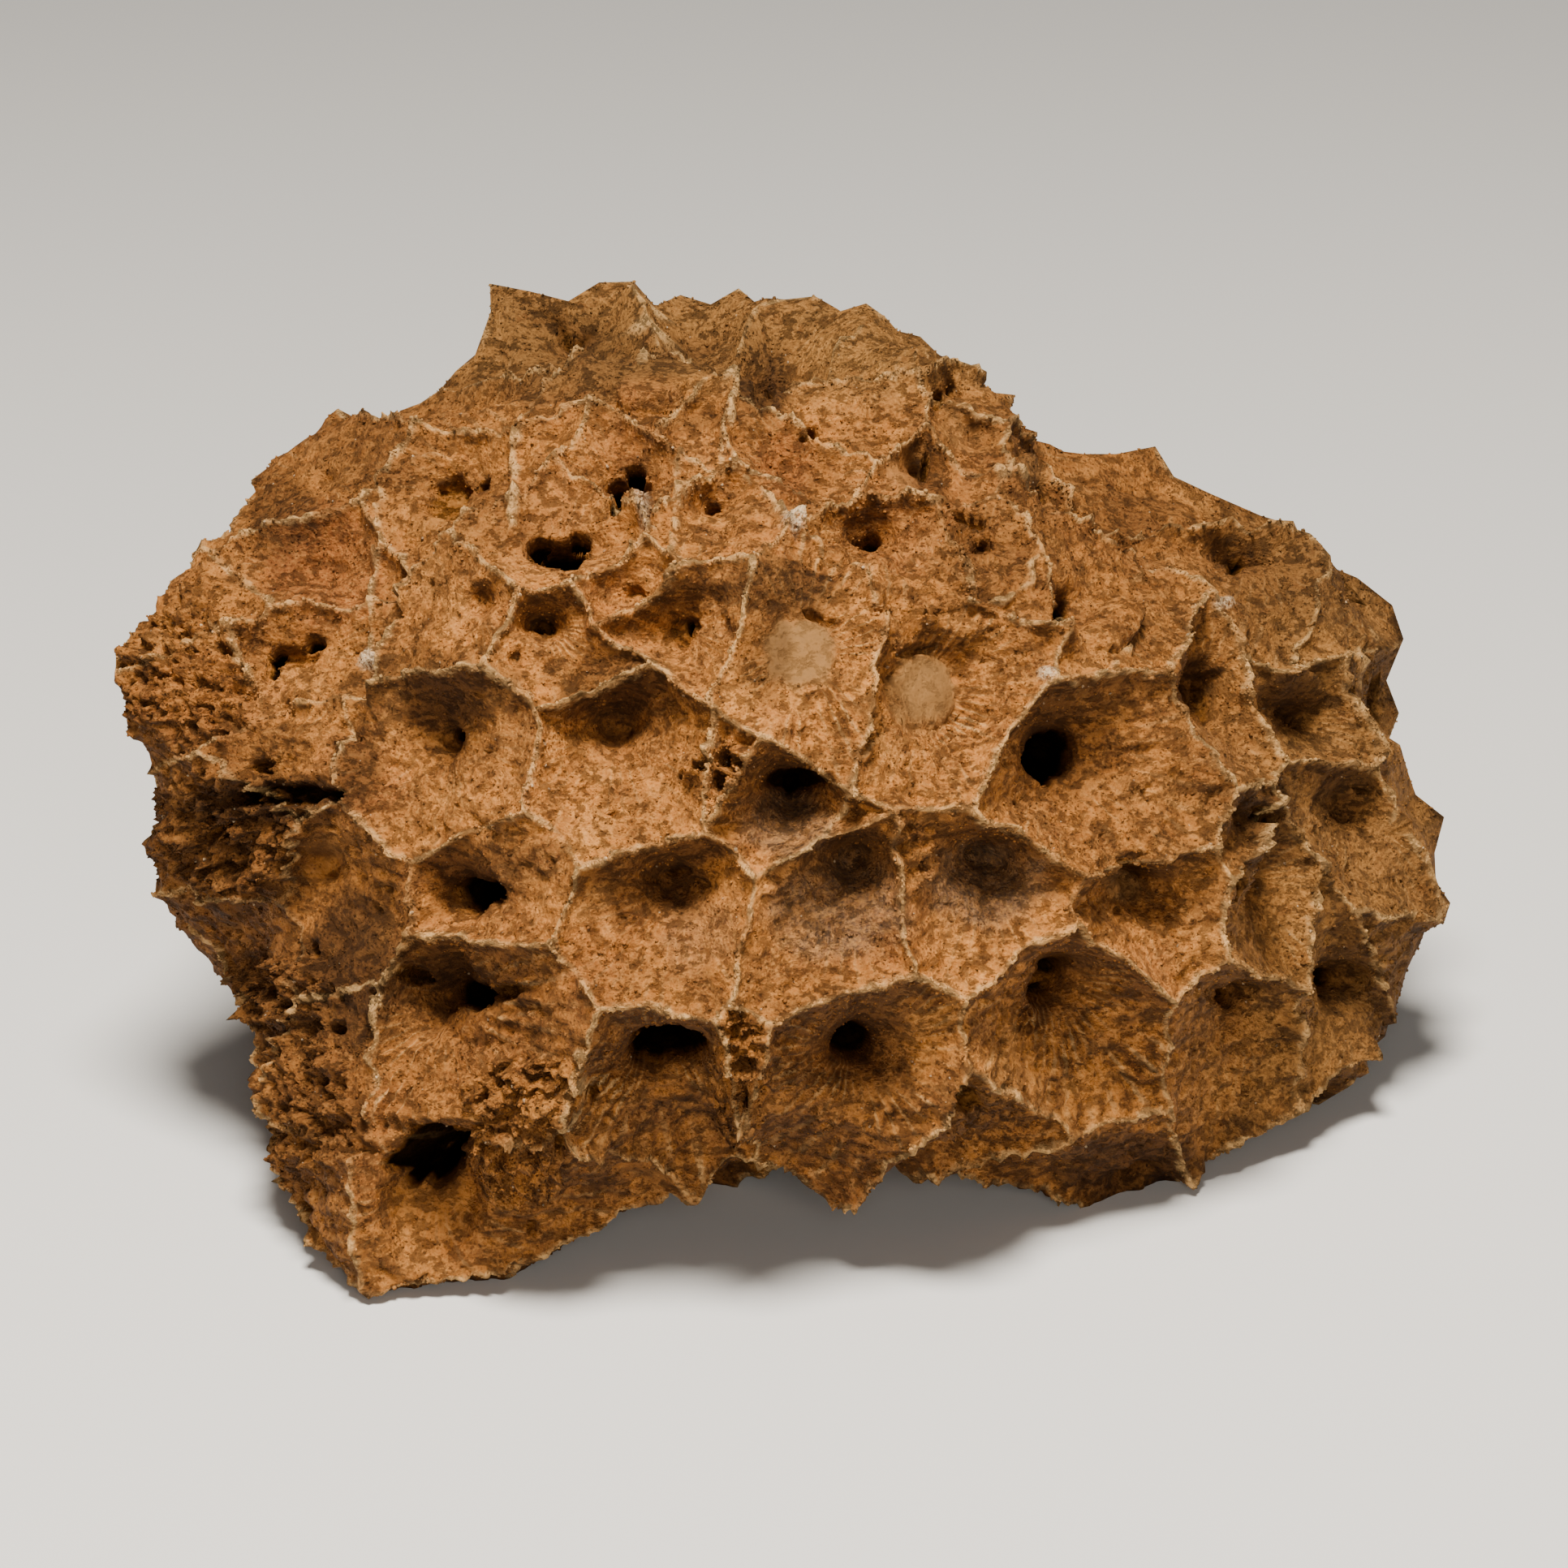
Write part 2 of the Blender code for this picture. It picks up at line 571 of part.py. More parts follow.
# Corners with less than the shortest wall between them become one, and a placed one keeps its place
def merge_close_corners(corners, radii, taken, cells):
    lead = list(range(len(corners)))

    def leader(c):
        while lead[c] != c:
            c = lead[c]
        return c

    for _, ring in cells:
        for a, b in zip(ring, ring[1:] + ring[:1]):
            first, second = leader(a), leader(b)
            gap = np.linalg.norm(corners[first] * radii[first] - corners[second] * radii[second])
            if first == second or gap > SHORTEST_WALL:
                continue
            if second in taken and first in taken:
                continue
            if second in taken:
                first, second = second, first
            lead[second] = first
    merged = []
    for cup, ring in cells:
        kept = []
        for c in ring:
            if leader(c) not in kept:
                kept.append(leader(c))
        if len(kept) > 2:
            merged.append((cup, kept))
    return merged


# The colony's surface: crest, slope, shaft mouth, shaft floor and floor middle of every cup
def build_surface(envelope, corners, radii, cells):
    surface = bmesh.new()
    centre = inner_point()
    crest_vertex = {}
    wall_vertex = {}

    def add(direction, radius):
        return surface.verts.new(centre + direction * radius)

    def add_sunk(directions, depth):
        return [surface.verts.new(point) for point in envelope.sunk(directions, depth)]

    for cup, ring in cells:
        _, _, pit, pit_radius, bowl, shaft = cup
        crest = []
        crest_directions = []
        for a, b in zip(ring, ring[1:] + ring[:1]):
            if a not in crest_vertex:
                crest_vertex[a] = add(corners[a], radii[a])
            crest.append(crest_vertex[a])
            crest_directions.append(corners[a])
            wall = (min(a, b), max(a, b))
            middle = unit(corners[a] + corners[b])
            if wall not in wall_vertex:
                crest_radius = float(envelope.radius(middle)[0]) + CREST_HEIGHT
                ends_radius = 0.5 * (radii[a] + radii[b])
                crest_radius = WALL_OWN_SHARE * crest_radius + (1.0 - WALL_OWN_SHARE) * ends_radius
                wall_vertex[wall] = add(middle, crest_radius - WALL_SAG)
            crest.append(wall_vertex[wall])
            crest_directions.append(middle)
        crest_directions = np.array(crest_directions)
        pit = settle_pit(pit, crest_directions)
        local_radius = float(envelope.radius(pit)[0])
        room = nearest_wall(pit, crest_directions)
        mouth_angle = min(pit_radius / local_radius, SHAFT_SHARE_OF_ROOM * room)
        outward = crest_directions - np.outer(crest_directions @ pit, pit)
        outward = unit(outward)
        mouth = unit(pit + outward * math.tan(mouth_angle))
        slope = unit(crest_directions * (1.0 - SLOPE_AT) + mouth * SLOPE_AT)
        floor = unit(pit + outward * math.tan(mouth_angle * SHAFT_TAPER))
        slope_ring = add_sunk(slope, bowl * SLOPE_DROP)
        mouth_ring = add_sunk(mouth, bowl)
        floor_ring = add_sunk(floor, bowl + shaft)
        middle = add_sunk(pit, bowl + shaft)[0]
        rings = (crest, slope_ring, mouth_ring, floor_ring)
        for outer, inner in zip(rings, rings[1:]):
            for i in range(len(outer)):
                j = (i + 1) % len(outer)
                surface.faces.new((outer[i], outer[j], inner[j], inner[i]))
        for i in range(len(floor_ring)):
            j = (i + 1) % len(floor_ring)
            surface.faces.new((floor_ring[i], floor_ring[j], middle))
    return surface


# The smallest angle from a direction to a ring's walls, negative outside it
def nearest_wall(direction, ring):
    following = np.roll(ring, -1, axis=0)
    planes = unit(np.cross(ring, following))
    if planes.mean(axis=0) @ ring.mean(axis=0) < 0.0:
        planes = -planes
    return float((planes @ direction).min())


# A shaft too close to a wall moves towards the cell's middle
def settle_pit(pit, ring):
    middle = unit(ring.mean(axis=0))
    for share in (0.0, 0.15, 0.3, 0.45, 0.6, 0.75, 0.9):
        moved = unit(pit * (1.0 - share) + middle * share)
        if nearest_wall(moved, ring) > SHAFT_ROOM:
            return moved
    return middle


# No vertex lies within a hair of the cut, so the cut leaves no slivers
def clear_cut_plane(surface):
    for vertex in surface.verts:
        height = vertex.co.z
        if abs(height) < CUT_CLEARANCE:
            vertex.co.z = CUT_CLEARANCE if height >= 0.0 else -CUT_CLEARANCE


def centre_on_crests(surface, corners, radii):
    crests = inner_point() + corners * radii[:, None]
    crests = crests[crests[:, 2] > 0.0]
    middle = 0.5 * (crests.min(axis=0) + crests.max(axis=0))
    for vertex in surface.verts:
        vertex.co.x -= middle[0]
        vertex.co.y -= middle[1]


def stone_material():
    material = bpy.data.materials.new("stone")
    material.use_nodes = True
    shader = material.node_tree.nodes["Principled BSDF"]
    shader.inputs["Base Color"].default_value = STONE_COLOUR
    shader.inputs["Roughness"].default_value = STONE_ROUGHNESS
    shader.inputs["Metallic"].default_value = 0.0
    return material


def cut_off_flat(colony):
    bpy.ops.mesh.primitive_cube_add(size=CUTTER_SIZE, location=(0.0, 0.0, -CUTTER_SIZE / 2))
    cutter = bpy.context.object
    cutter.name = "cutter_base"
    cutter.hide_render = True
    cutter.display_type = "WIRE"
    modifier = colony.modifiers.new("flat_base", "BOOLEAN")
    modifier.operation = "DIFFERENCE"
    modifier.solver = "EXACT"
    modifier.object = cutter
    bpy.context.view_layer.objects.active = colony
    bpy.ops.object.modifier_apply(modifier=modifier.name)
    bpy.data.objects.remove(cutter, do_unlink=True)


def build_colony():
    envelope = Envelope()
    cups = collect_cups(envelope)
    corners, faces_around = voronoi_corners(envelope, cups)
    cells = ordered_cells(corners, cups, faces_around)
    corners, radii, taken = pin_corners(envelope, corners)
    cells = merge_close_corners(corners, radii, taken, cells)
    surface = build_surface(envelope, corners, radii, cells)
    bmesh.ops.triangulate(surface, faces=surface.faces)
    bmesh.ops.recalc_face_normals(surface, faces=surface.faces)
    centre_on_crests(surface, corners, radii)
    clear_cut_plane(surface)
    mesh = bpy.data.meshes.new("coral_colony")
    surface.to_mesh(mesh)
    surface.free()
    colony = bpy.data.objects.new("coral_colony", mesh)
    bpy.context.scene.collection.objects.link(colony)
    mesh.materials.append(stone_material())
    cut_off_flat(colony)
    return colony


def main():
    for leftover in list(bpy.data.objects):
        bpy.data.objects.remove(leftover, do_unlink=True)
    build_colony()


if __name__ == "__main__":
    main()
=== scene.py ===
import math
import bmesh
import bpy
import numpy as np
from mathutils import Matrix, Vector


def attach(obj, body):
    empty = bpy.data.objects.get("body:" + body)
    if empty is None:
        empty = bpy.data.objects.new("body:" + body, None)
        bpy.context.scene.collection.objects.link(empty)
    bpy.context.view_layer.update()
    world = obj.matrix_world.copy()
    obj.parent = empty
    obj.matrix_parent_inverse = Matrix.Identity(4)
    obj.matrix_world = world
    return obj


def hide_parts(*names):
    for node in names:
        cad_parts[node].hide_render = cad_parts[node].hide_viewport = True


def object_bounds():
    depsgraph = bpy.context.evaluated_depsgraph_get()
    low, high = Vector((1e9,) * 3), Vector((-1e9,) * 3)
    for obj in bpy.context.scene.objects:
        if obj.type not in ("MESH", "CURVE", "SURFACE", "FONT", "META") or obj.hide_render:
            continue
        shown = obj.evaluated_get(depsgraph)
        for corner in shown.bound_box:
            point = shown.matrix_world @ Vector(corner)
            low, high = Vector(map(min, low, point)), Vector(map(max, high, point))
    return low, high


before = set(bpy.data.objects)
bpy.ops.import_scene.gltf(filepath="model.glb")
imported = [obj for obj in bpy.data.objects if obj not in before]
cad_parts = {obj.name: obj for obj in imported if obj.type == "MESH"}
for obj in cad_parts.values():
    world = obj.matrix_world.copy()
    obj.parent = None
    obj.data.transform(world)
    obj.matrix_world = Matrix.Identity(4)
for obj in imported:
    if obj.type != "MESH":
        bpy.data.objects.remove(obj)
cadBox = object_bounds()
print("stage: frame loaded")

# A fossil coral colony: one lump of many-sided cups that share thin walls.
# Its surface is a radius for each direction from a point inside it, so every part of it is
# worked out from directions: the lump, the walls between cups, the bowls and shafts, the wear.
# Places read from the photograph are in px of its 1932 x 1932 frame, with depths and heights in mm.
# The view, the lump and the lamps are in metres.

mm = 0.001
colonyWidth = 0.0998           # real width, from the size of its cups
colonyWidthPx = 1647           # the same width in the photograph

# the photograph's camera
photoView = {
    "middlePx": 966,
    "metresPerPx": colonyWidth / colonyWidthPx,
    "elevation": math.radians(22),
    "distance": 0.45,
    "targetHeight": 0.0274,
    "sensorWidth": 36.0,       # in mm, as the lens is
    "clipStart": 0.01,
}

# how the lump, its walls and the places of its shafts are worked out
lump = {
    "innerHeight": 0.029,      # of the point that the directions start from
    "kernel": 0.34,            # how far one body point reaches round the lump
    "softness": 0.01,
    "crestHeight": 0.0006,     # of the walls above the body points
    "wallSag": 0.0007,         # of a wall's middle below its ends
    "wallOwnShare": 0.6,
    "shortestWall": 0.0016,
    "bowlDeepening": 1.3,
    "viewLean": 1.2,           # of the seen cups towards the viewer
    "viewLeanFacing": (-0.25, 0.35),
    "outlineReach": math.radians(9),
    "cornerReach": math.radians(10),
    "shaftRoom": 0.055,        # between a shaft's middle and its cup's walls, in radians
    "shaftMoves": (0.0, 0.15, 0.3, 0.45, 0.6, 0.75, 0.9),  # tried towards the cup's middle
    "shaftWidest": 0.5,        # as a share of that room
    "wallCurve": 1.6,          # how a wall sags between its ends
    "wallNearness": 0.02,
    "wallRounding": 7,         # higher keeps the bowls more angular at their corners
    "probeDepths": (0.06, -0.06),  # between which a pixel's line of sight meets the lump
    "probeSteps": 600,
    "aimTries": 4,
}

# cups that the photograph doesn't show, spread over what the others leave free
hiddenCups = {
    "tries": 150,
    "gap": math.radians(15.5),
    "seenFacing": -0.1,
    "seenHeight": 0.004,
    "sizePx": 92,
    "jitter": 0.045,
    "shaftJitter": 0.027,
    "least": (1.3, 3.2, 1.0),
    "most": (2.1, 4.6, 3.6),
    "seed": 7,
}

# the lump where the photograph shows it: x, y, depth towards the camera
bodyPoints = {
    "leftTip": (150, 833, 6),
    "leftShoulder": (225, 715, 4),
    "leftUnderLobe": (215, 930, 0),
    "leftWaist": (195, 1065, -3),
    "leftFlank": (282, 1190, 3),
    "leftHeel": (335, 1350, 6),
    "leftFoot": (350, 1480, 12),
    "frontFootTip": (450, 1575, 19),
    "frontFootRight": (630, 1545, 20),
    "frontBaseLeft": (740, 1465, 20),
    "frontBaseMid": (930, 1405, 19),
    "frontBaseRight": (1060, 1460, 16),
    "frontBaseFar": (1210, 1418, 13),
    "rightBaseNear": (1330, 1455, 7),
    "rightBaseMid": (1470, 1435, 1),
    "rightBaseFar": (1610, 1345, -3),
    "rightHeel": (1700, 1280, -8),
    "rightSpur": (1770, 1135, -12),
    "rightDome": (1765, 1010, -15),
    "rightSide": (1705, 850, -16),
    "rightShoulder": (1700, 745, -16),
    "rightTop": (1590, 650, -16),
    "rightTopEdge": (1652, 688, -17),
    "rightSaddle": (1495, 650, -13),
    "backSpur": (1420, 572, -14),
    "rightSlopeTop": (1310, 565, -7),
    "plugShoulder": (1290, 548, -13),
    "topRight": (1230, 480, -4),
    "topSpur": (1150, 420, -7),
    "topMiddle": (1050, 405, -8),
    "backRim": (940, 385, -14),
    "backRimLeft": (850, 395, -15),
    "backCrown": (690, 368, -15),
    "backCrownLeft": (600, 380, -15),
    "backSlopeLeft": (540, 490, -12),
    "backSlopeEdge": (500, 520, -20),
    "backHumpTop": (405, 535, -17),
    "backHumpSide": (325, 620, -18),
    "lobeNotch": (305, 684, -7),
    "crownCup": (709, 430, -12),
    "backCup": (860, 430, -12),
    "boulder": (805, 485, -4),
    "valley": (935, 490, -7),
    "topPatch": (1200, 540, 7),
    "upperBrow": (690, 590, 15),
    "upperBrowRight": (890, 580, 16),
    "raisedBlock": (1050, 470, 4),
    "raisedBlockFoot": (1040, 585, 13),
    "frontEdgeLeft": (470, 540, 2),
    "frontEdgeMid": (600, 535, 8),
    "frontEdgeRight": (740, 505, 10),
    "frontEdgeApex": (906, 495, 10),
    "browLeft": (400, 700, 9),
    "browMid": (560, 640, 16),
    "browRight": (790, 640, 20),
    "browFar": (1070, 670, 20),
    "lobeMiddle": (270, 810, 11),
    "leftCheek": (430, 870, 17),
    "cheek": (560, 950, 26),
    "upperFace": (780, 830, 26),
    "middleFace": (960, 960, 32),
    "rightFace": (1200, 860, 25),
    "rightSlope": (1350, 700, 12),
    "rightCheek": (1370, 980, 22),
    "rightWall": (1500, 860, 8),
    "farWall": (1600, 900, -1),
    "leftRecess": (400, 1100, 17),
    "leftGroove": (350, 1230, 13),
    "jawLeft": (600, 1120, 27),
    "jawLedge": (540, 1200, 24),
    "jawMid": (860, 1150, 32),
    "jawRight": (1110, 1150, 29),
    "jawFar": (1400, 1130, 20),
    "jawEnd": (1580, 1130, 7),
    "lowerLeft": (560, 1330, 27),
    "lowerMid": (830, 1340, 30),
    "lowerRight": (1060, 1340, 29),
    "lowerFar": (1310, 1290, 20),
    "lowerEnd": (1520, 1290, 7),
    "lowerTail": (1660, 1230, -3),
    "crownFoot": (660, 492, -12),
}

# and where it shows none: azimuth from the viewer towards +X, elevation in degrees, radius in mm
hiddenPoints = {
    "rightBack": (120, -2, 44),
    "rightBackHigh": (128, 16, 38),
    "backRightHigh": (150, 22, 35),
    "back": (178, 2, 37),
    "backHigh": (172, 25, 35),
    "backLeftHigh": (205, 18, 40),
    "backLow": (175, -30, 36),
    "backRight": (150, -5, 39),
    "backLeft": (208, -3, 39),
    "leftBack": (240, 3, 42),
    "leftBackLow": (235, -30, 40),
    "rightBackLow": (125, -30, 42),
    "underFront": (0, -60, 28),
    "underFrontLeft": (318, -50, 42),
    "underFrontRight": (30, -57, 29),
    "underLump": (62, -45, 41),
    "under": (0, -89, 33),
    "underLeft": (270, -52, 40),
    "underRight": (95, -48, 42),
    "underBack": (180, -58, 35),
}

# the cups in the photograph: middle x, y and half width in px, shaft x and y in px,
# then shaft radius, bowl depth and shaft depth in mm
cups = {
    "crown": (700, 420, 84, 706, 414, 1.7, 3.2, 1.4),
    "backShell": (858, 425, 62, 865, 425, 1.4, 2.6, 0.8),
    "backGap": (945, 470, 30, 943, 474, 1.4, 3.4, 4.0),
    "boulder": (803, 482, 34, 803, 482, 1.1, 0.4, 0.2),
    "boulderSlope": (868, 508, 30, 868, 508, 1.0, 1.2, 0.4),
    "raisedBlock": (1042, 498, 90, 1000, 532, 1.0, 1.3, 1.0),
    "behindBlock": (1118, 418, 36, 1118, 424, 1.0, 1.5, 0.8),
    "topNotch": (1195, 470, 44, 1165, 482, 1.0, 2.0, 1.5),
    "greyPatch": (1202, 535, 38, 1202, 537, 1.1, 1.2, 0.4),
    "longPlug": (1122, 572, 44, 1124, 576, 1.5, 2.2, 1.4),
    "wedge": (550, 605, 86, 550, 606, 2.0, 2.2, 3.6),
    "blackWindow": (690, 645, 84, 690, 680, 2.5, 2.2, 6.0),
    "chipped": (794, 602, 46, 772, 598, 1.4, 1.8, 3.4),
    "darkPit": (890, 625, 74, 876, 628, 1.6, 2.2, 3.4),
    "leaningFacet": (970, 575, 42, 975, 580, 1.2, 1.4, 0.5),
    "cross": (1082, 668, 64, 1069, 664, 1.1, 2.2, 1.6),
    "tornRecess": (1212, 668, 60, 1210, 672, 2.2, 2.4, 1.6),
    "smallPlug": (1278, 588, 50, 1287, 605, 1.0, 2.2, 1.2),
    "slopingCup": (1362, 712, 128, 1316, 752, 1.2, 2.8, 4.0),
    "backNotch": (1425, 600, 46, 1420, 592, 1.0, 1.8, 0.8),
    "paleSlope": (538, 752, 72, 590, 742, 1.4, 1.4, 0.8),
    "roundPit": (668, 800, 56, 667, 770, 1.5, 2.4, 2.6),
    "smallRest": (778, 735, 26, 776, 735, 1.0, 1.6, 0.8),
    "filledPit": (850, 795, 64, 845, 777, 1.4, 2.4, 1.4),
    "greyBowl": (995, 800, 88, 988, 800, 2.6, 2.8, 0.5),
    "ovalPlug": (1172, 868, 112, 1140, 850, 2.7, 3.2, 0.5),
    "blackEye": (1350, 955, 106, 1290, 930, 2.0, 4.4, 6.5),
    "sideOval": (1500, 862, 92, 1472, 856, 2.0, 3.0, 2.2),
    "leftGreat": (530, 945, 118, 550, 906, 1.2, 3.6, 1.0),
    "middleGreat": (768, 940, 116, 755, 890, 1.6, 3.8, 0.5),
    "spongyPit": (885, 952, 30, 888, 955, 1.2, 2.0, 1.8),
    "arch": (975, 1000, 72, 976, 966, 3.6, 4.8, 2.4),
    "pupil": (592, 1108, 94, 582, 1104, 2.0, 2.2, 5.6),
    "creased": (815, 1150, 104, 832, 1092, 2.0, 3.8, 0.8),
    "mauveBowl": (1035, 1130, 102, 1050, 1060, 2.2, 3.6, 0.8),
    "mauveCup": (1202, 1098, 82, 1208, 1062, 3.3, 4.0, 1.4),
    "ringed": (1412, 1122, 84, 1394, 1094, 2.5, 3.6, 1.4),
    "cracked": (1580, 1115, 98, 1534, 1084, 1.3, 4.0, 2.0),
    "shadowGap": (1560, 1000, 40, 1560, 1003, 1.4, 3.0, 1.6),
    "rightSmall": (1664, 1010, 56, 1672, 985, 1.2, 2.8, 1.0),
    "rightDome": (1745, 1005, 52, 1745, 1000, 1.2, 0.8, 0.2),
    "rightUpper": (1612, 885, 58, 1588, 848, 1.4, 3.0, 1.4),
    "greenHollow": (1692, 858, 40, 1692, 864, 1.6, 2.4, 0.8),
    "twoPits": (1580, 712, 66, 1530, 690, 1.5, 2.6, 1.6),
    "rightRim": (1664, 740, 56, 1664, 735, 1.3, 2.6, 0.8),
    "gate": (805, 1350, 92, 812, 1296, 3.6, 4.4, 4.5),
    "lattice": (915, 1325, 42, 914, 1325, 1.1, 1.4, 0.6),
    "darkWell": (1060, 1345, 116, 1054, 1287, 3.1, 4.6, 4.0),
    "frontWell": (545, 1475, 100, 534, 1428, 3.2, 3.0, 5.6),
    "ledgeHollow": (575, 1295, 122, 560, 1225, 2.2, 4.0, 1.4),
    "ribbed": (1315, 1275, 112, 1295, 1210, 2.2, 4.6, 2.2),
    "tornFoot": (1200, 1385, 72, 1192, 1354, 2.2, 3.8, 2.6),
    "dullRight": (1525, 1305, 92, 1515, 1226, 2.0, 3.8, 1.6),
    "farHollow": (1668, 1245, 58, 1655, 1205, 2.2, 3.4, 2.2),
    "underLump": (1400, 1440, 58, 1400, 1440, 1.4, 1.4, 1.0),
    "rightSpur": (1752, 1165, 48, 1745, 1160, 1.3, 2.0, 0.6),
    "baseArch": (935, 1470, 70, 932, 1478, 2.4, 3.4, 1.2),
    "roughSide": (285, 1020, 78, 290, 1020, 1.4, 1.2, 0.8),
    "groovedSide": (325, 1195, 84, 330, 1190, 1.4, 1.2, 0.6),
    "smoothDent": (412, 1112, 66, 402, 1062, 1.6, 2.2, 0.8),
    "roughHeel": (385, 1345, 52, 388, 1345, 1.2, 1.4, 0.8),
    "leftFoot": (372, 1465, 44, 376, 1490, 1.2, 1.8, 1.2),
    "lobeDisc": (258, 738, 62, 262, 745, 1.3, 0.4, 0.3),
    "lobe": (235, 838, 70, 262, 822, 1.4, 0.6, 0.4),
    "lobeRoot": (365, 810, 62, 352, 806, 1.4, 1.2, 1.6),
    "underLobe": (320, 945, 40, 330, 958, 1.2, 0.8, 0.6),
    "redRecess": (392, 690, 76, 400, 700, 1.6, 1.6, 0.8),
    "backHump": (395, 585, 66, 398, 588, 1.4, 1.6, 0.6),
    "backSlope": (540, 500, 50, 545, 500, 1.3, 1.8, 0.6),
}

# cups just behind the outline: x, y, depth towards the camera, half width in px
behindCups = {
    "behindSlope": (500, 440, -24, 80),
    "behindHump": (345, 500, -28, 80),
    "behindHumpLow": (285, 610, -26, 80),
    "behindCrown": (690, 330, -32, 90),
    "behindShell": (870, 355, -32, 80),
    "behindTop": (1030, 370, -26, 80),
    "behindSpur": (1225, 425, -22, 70),
    "behindSaddle": (1325, 505, -20, 60),
    "behindTwoPits": (1570, 590, -28, 80),
    "behindRim": (1700, 670, -28, 80),
    "behindSide": (1745, 820, -28, 80),
    "behindDome": (1790, 950, -28, 70),
    "behindLobe": (125, 735, -9, 70),
    "behindWaist": (150, 950, -16, 80),
    "behindFlank": (205, 1185, -14, 80),
    "behindHeel": (275, 1400, -5, 70),
}
behindShaft = (1.6, 3.2, 1.6)

# corners of the walls inside the outline: x, y
wallCorners = {
    "leftGreatTopLeft": (438, 854),
    "leftGreatRight": (652, 996),
    "leftGreatBottom": (506, 1063),
    "pupilTopRight": (717, 1065),
    "pupilBottomRight": (683, 1164),
    "pupilBottomLeft": (514, 1149),
    "creasedBottomLeft": (742, 1237),
    "creasedBottomMiddle": (880, 1250),
    "creasedBottomRight": (902, 1229),
    "creasedTopRight": (937, 1076),
    "mauveBowlBottomLeft": (948, 1256),
    "mauveBowlBottomRight": (1118, 1200),
    "mauveCupBottom": (1188, 1228),
    "ribbedLeft": (1191, 1314),
    "mauveCupRight": (1321, 1135),
    "ringedTopLeft": (1329, 1078),
    "ringedBottom": (1444, 1233),
    "ringedRight": (1497, 1176),
    "ringedTopRight": (1497, 1046),
    "crackedLeft": (1504, 1078),
    "blackEyeRight": (1516, 973),
    "blackEyeLeft": (1191, 996),
    "archTopRight": (1050, 973),
    "filledPitBottom": (881, 881),
    "filledPitLeft": (805, 821),
    "roundPitBottom": (667, 873),
    "roundPitLeft": (606, 821),
    "roundPitRight": (740, 775),
    "darkPitTop": (906, 488),
    "whiteCrumb": (977, 645),
    "leaningFacetRight": (1021, 622),
    "raisedBlockFoot": (1077, 584),
    "raisedBlockRight": (1126, 469),
    "tornRecessBottom": (1199, 732),
    "slopingCupBottom": (1430, 835),
    "sideOvalTopRight": (1576, 827),
    "sideOvalBottomRight": (1570, 940),
    "shadowGapRight": (1616, 1062),
    "crackedBottom": (1602, 1216),
    "ribbedBottomRight": (1432, 1356),
    "ribbedBottomLeft": (1318, 1394),
    "frontWellRight": (694, 1394),
    "raisedBlockTop": (996, 418),
    "raisedBlockLeft": (954, 432),
    "chippedTop": (735, 488),
    "blackWindowTop": (635, 535),
    "paleSlopeRight": (642, 728),
    "blackEyeTop": (1290, 838),
    "twoPitsLeft": (1486, 728),
}

# crests that stand on the outline: x, y, depth towards the camera
outlineCrests = {
    "lobeTip": (141, 833, 6),
    "lobeTop": (254, 679, 3),
    "lobeNotch": (300, 692, -14),
    "humpSide": (338, 570, -17),
    "humpTop": (405, 524, -17),
    "slopeFoot": (462, 529, -13),
    "slopeHead": (530, 484, -15),
    "crownLeft": (600, 343, -19),
    "crownRight": (774, 341, -20),
    "shellRight": (958, 372, -18),
    "blockRight": (1096, 395, -13),
    "notchRight": (1243, 484, -8),
    "plugRight": (1306, 552, -10),
    "backSpur": (1425, 551, -14),
    "twoPitsTop": (1522, 614, -16),
    "rimTop": (1608, 629, -16),
    "rimRight": (1717, 738, -16),
    "greenHollowRight": (1712, 905, -16),
    "domeRight": (1773, 1012, -15),
    "spurTip": (1788, 1135, -12),
    "spurFoot": (1708, 1302, -7),
    "dullFoot": (1600, 1366, -3),
    "underLumpRight": (1460, 1455, 3),
    "tornFootLeft": (1138, 1462, 12),
    "baseArchRight": (1030, 1487, 16),
    "baseArchLeft": (851, 1479, 18),
    "frontFootRight": (639, 1557, 18),
    "frontFootLeft": (442, 1588, 19),
    "leftFootTop": (332, 1422, 8),
    "flank": (277, 1170, 1),
    "waistLow": (181, 1092, -2),
    "waist": (179, 1040, -2),
    "underLobe": (205, 930, -1),
}

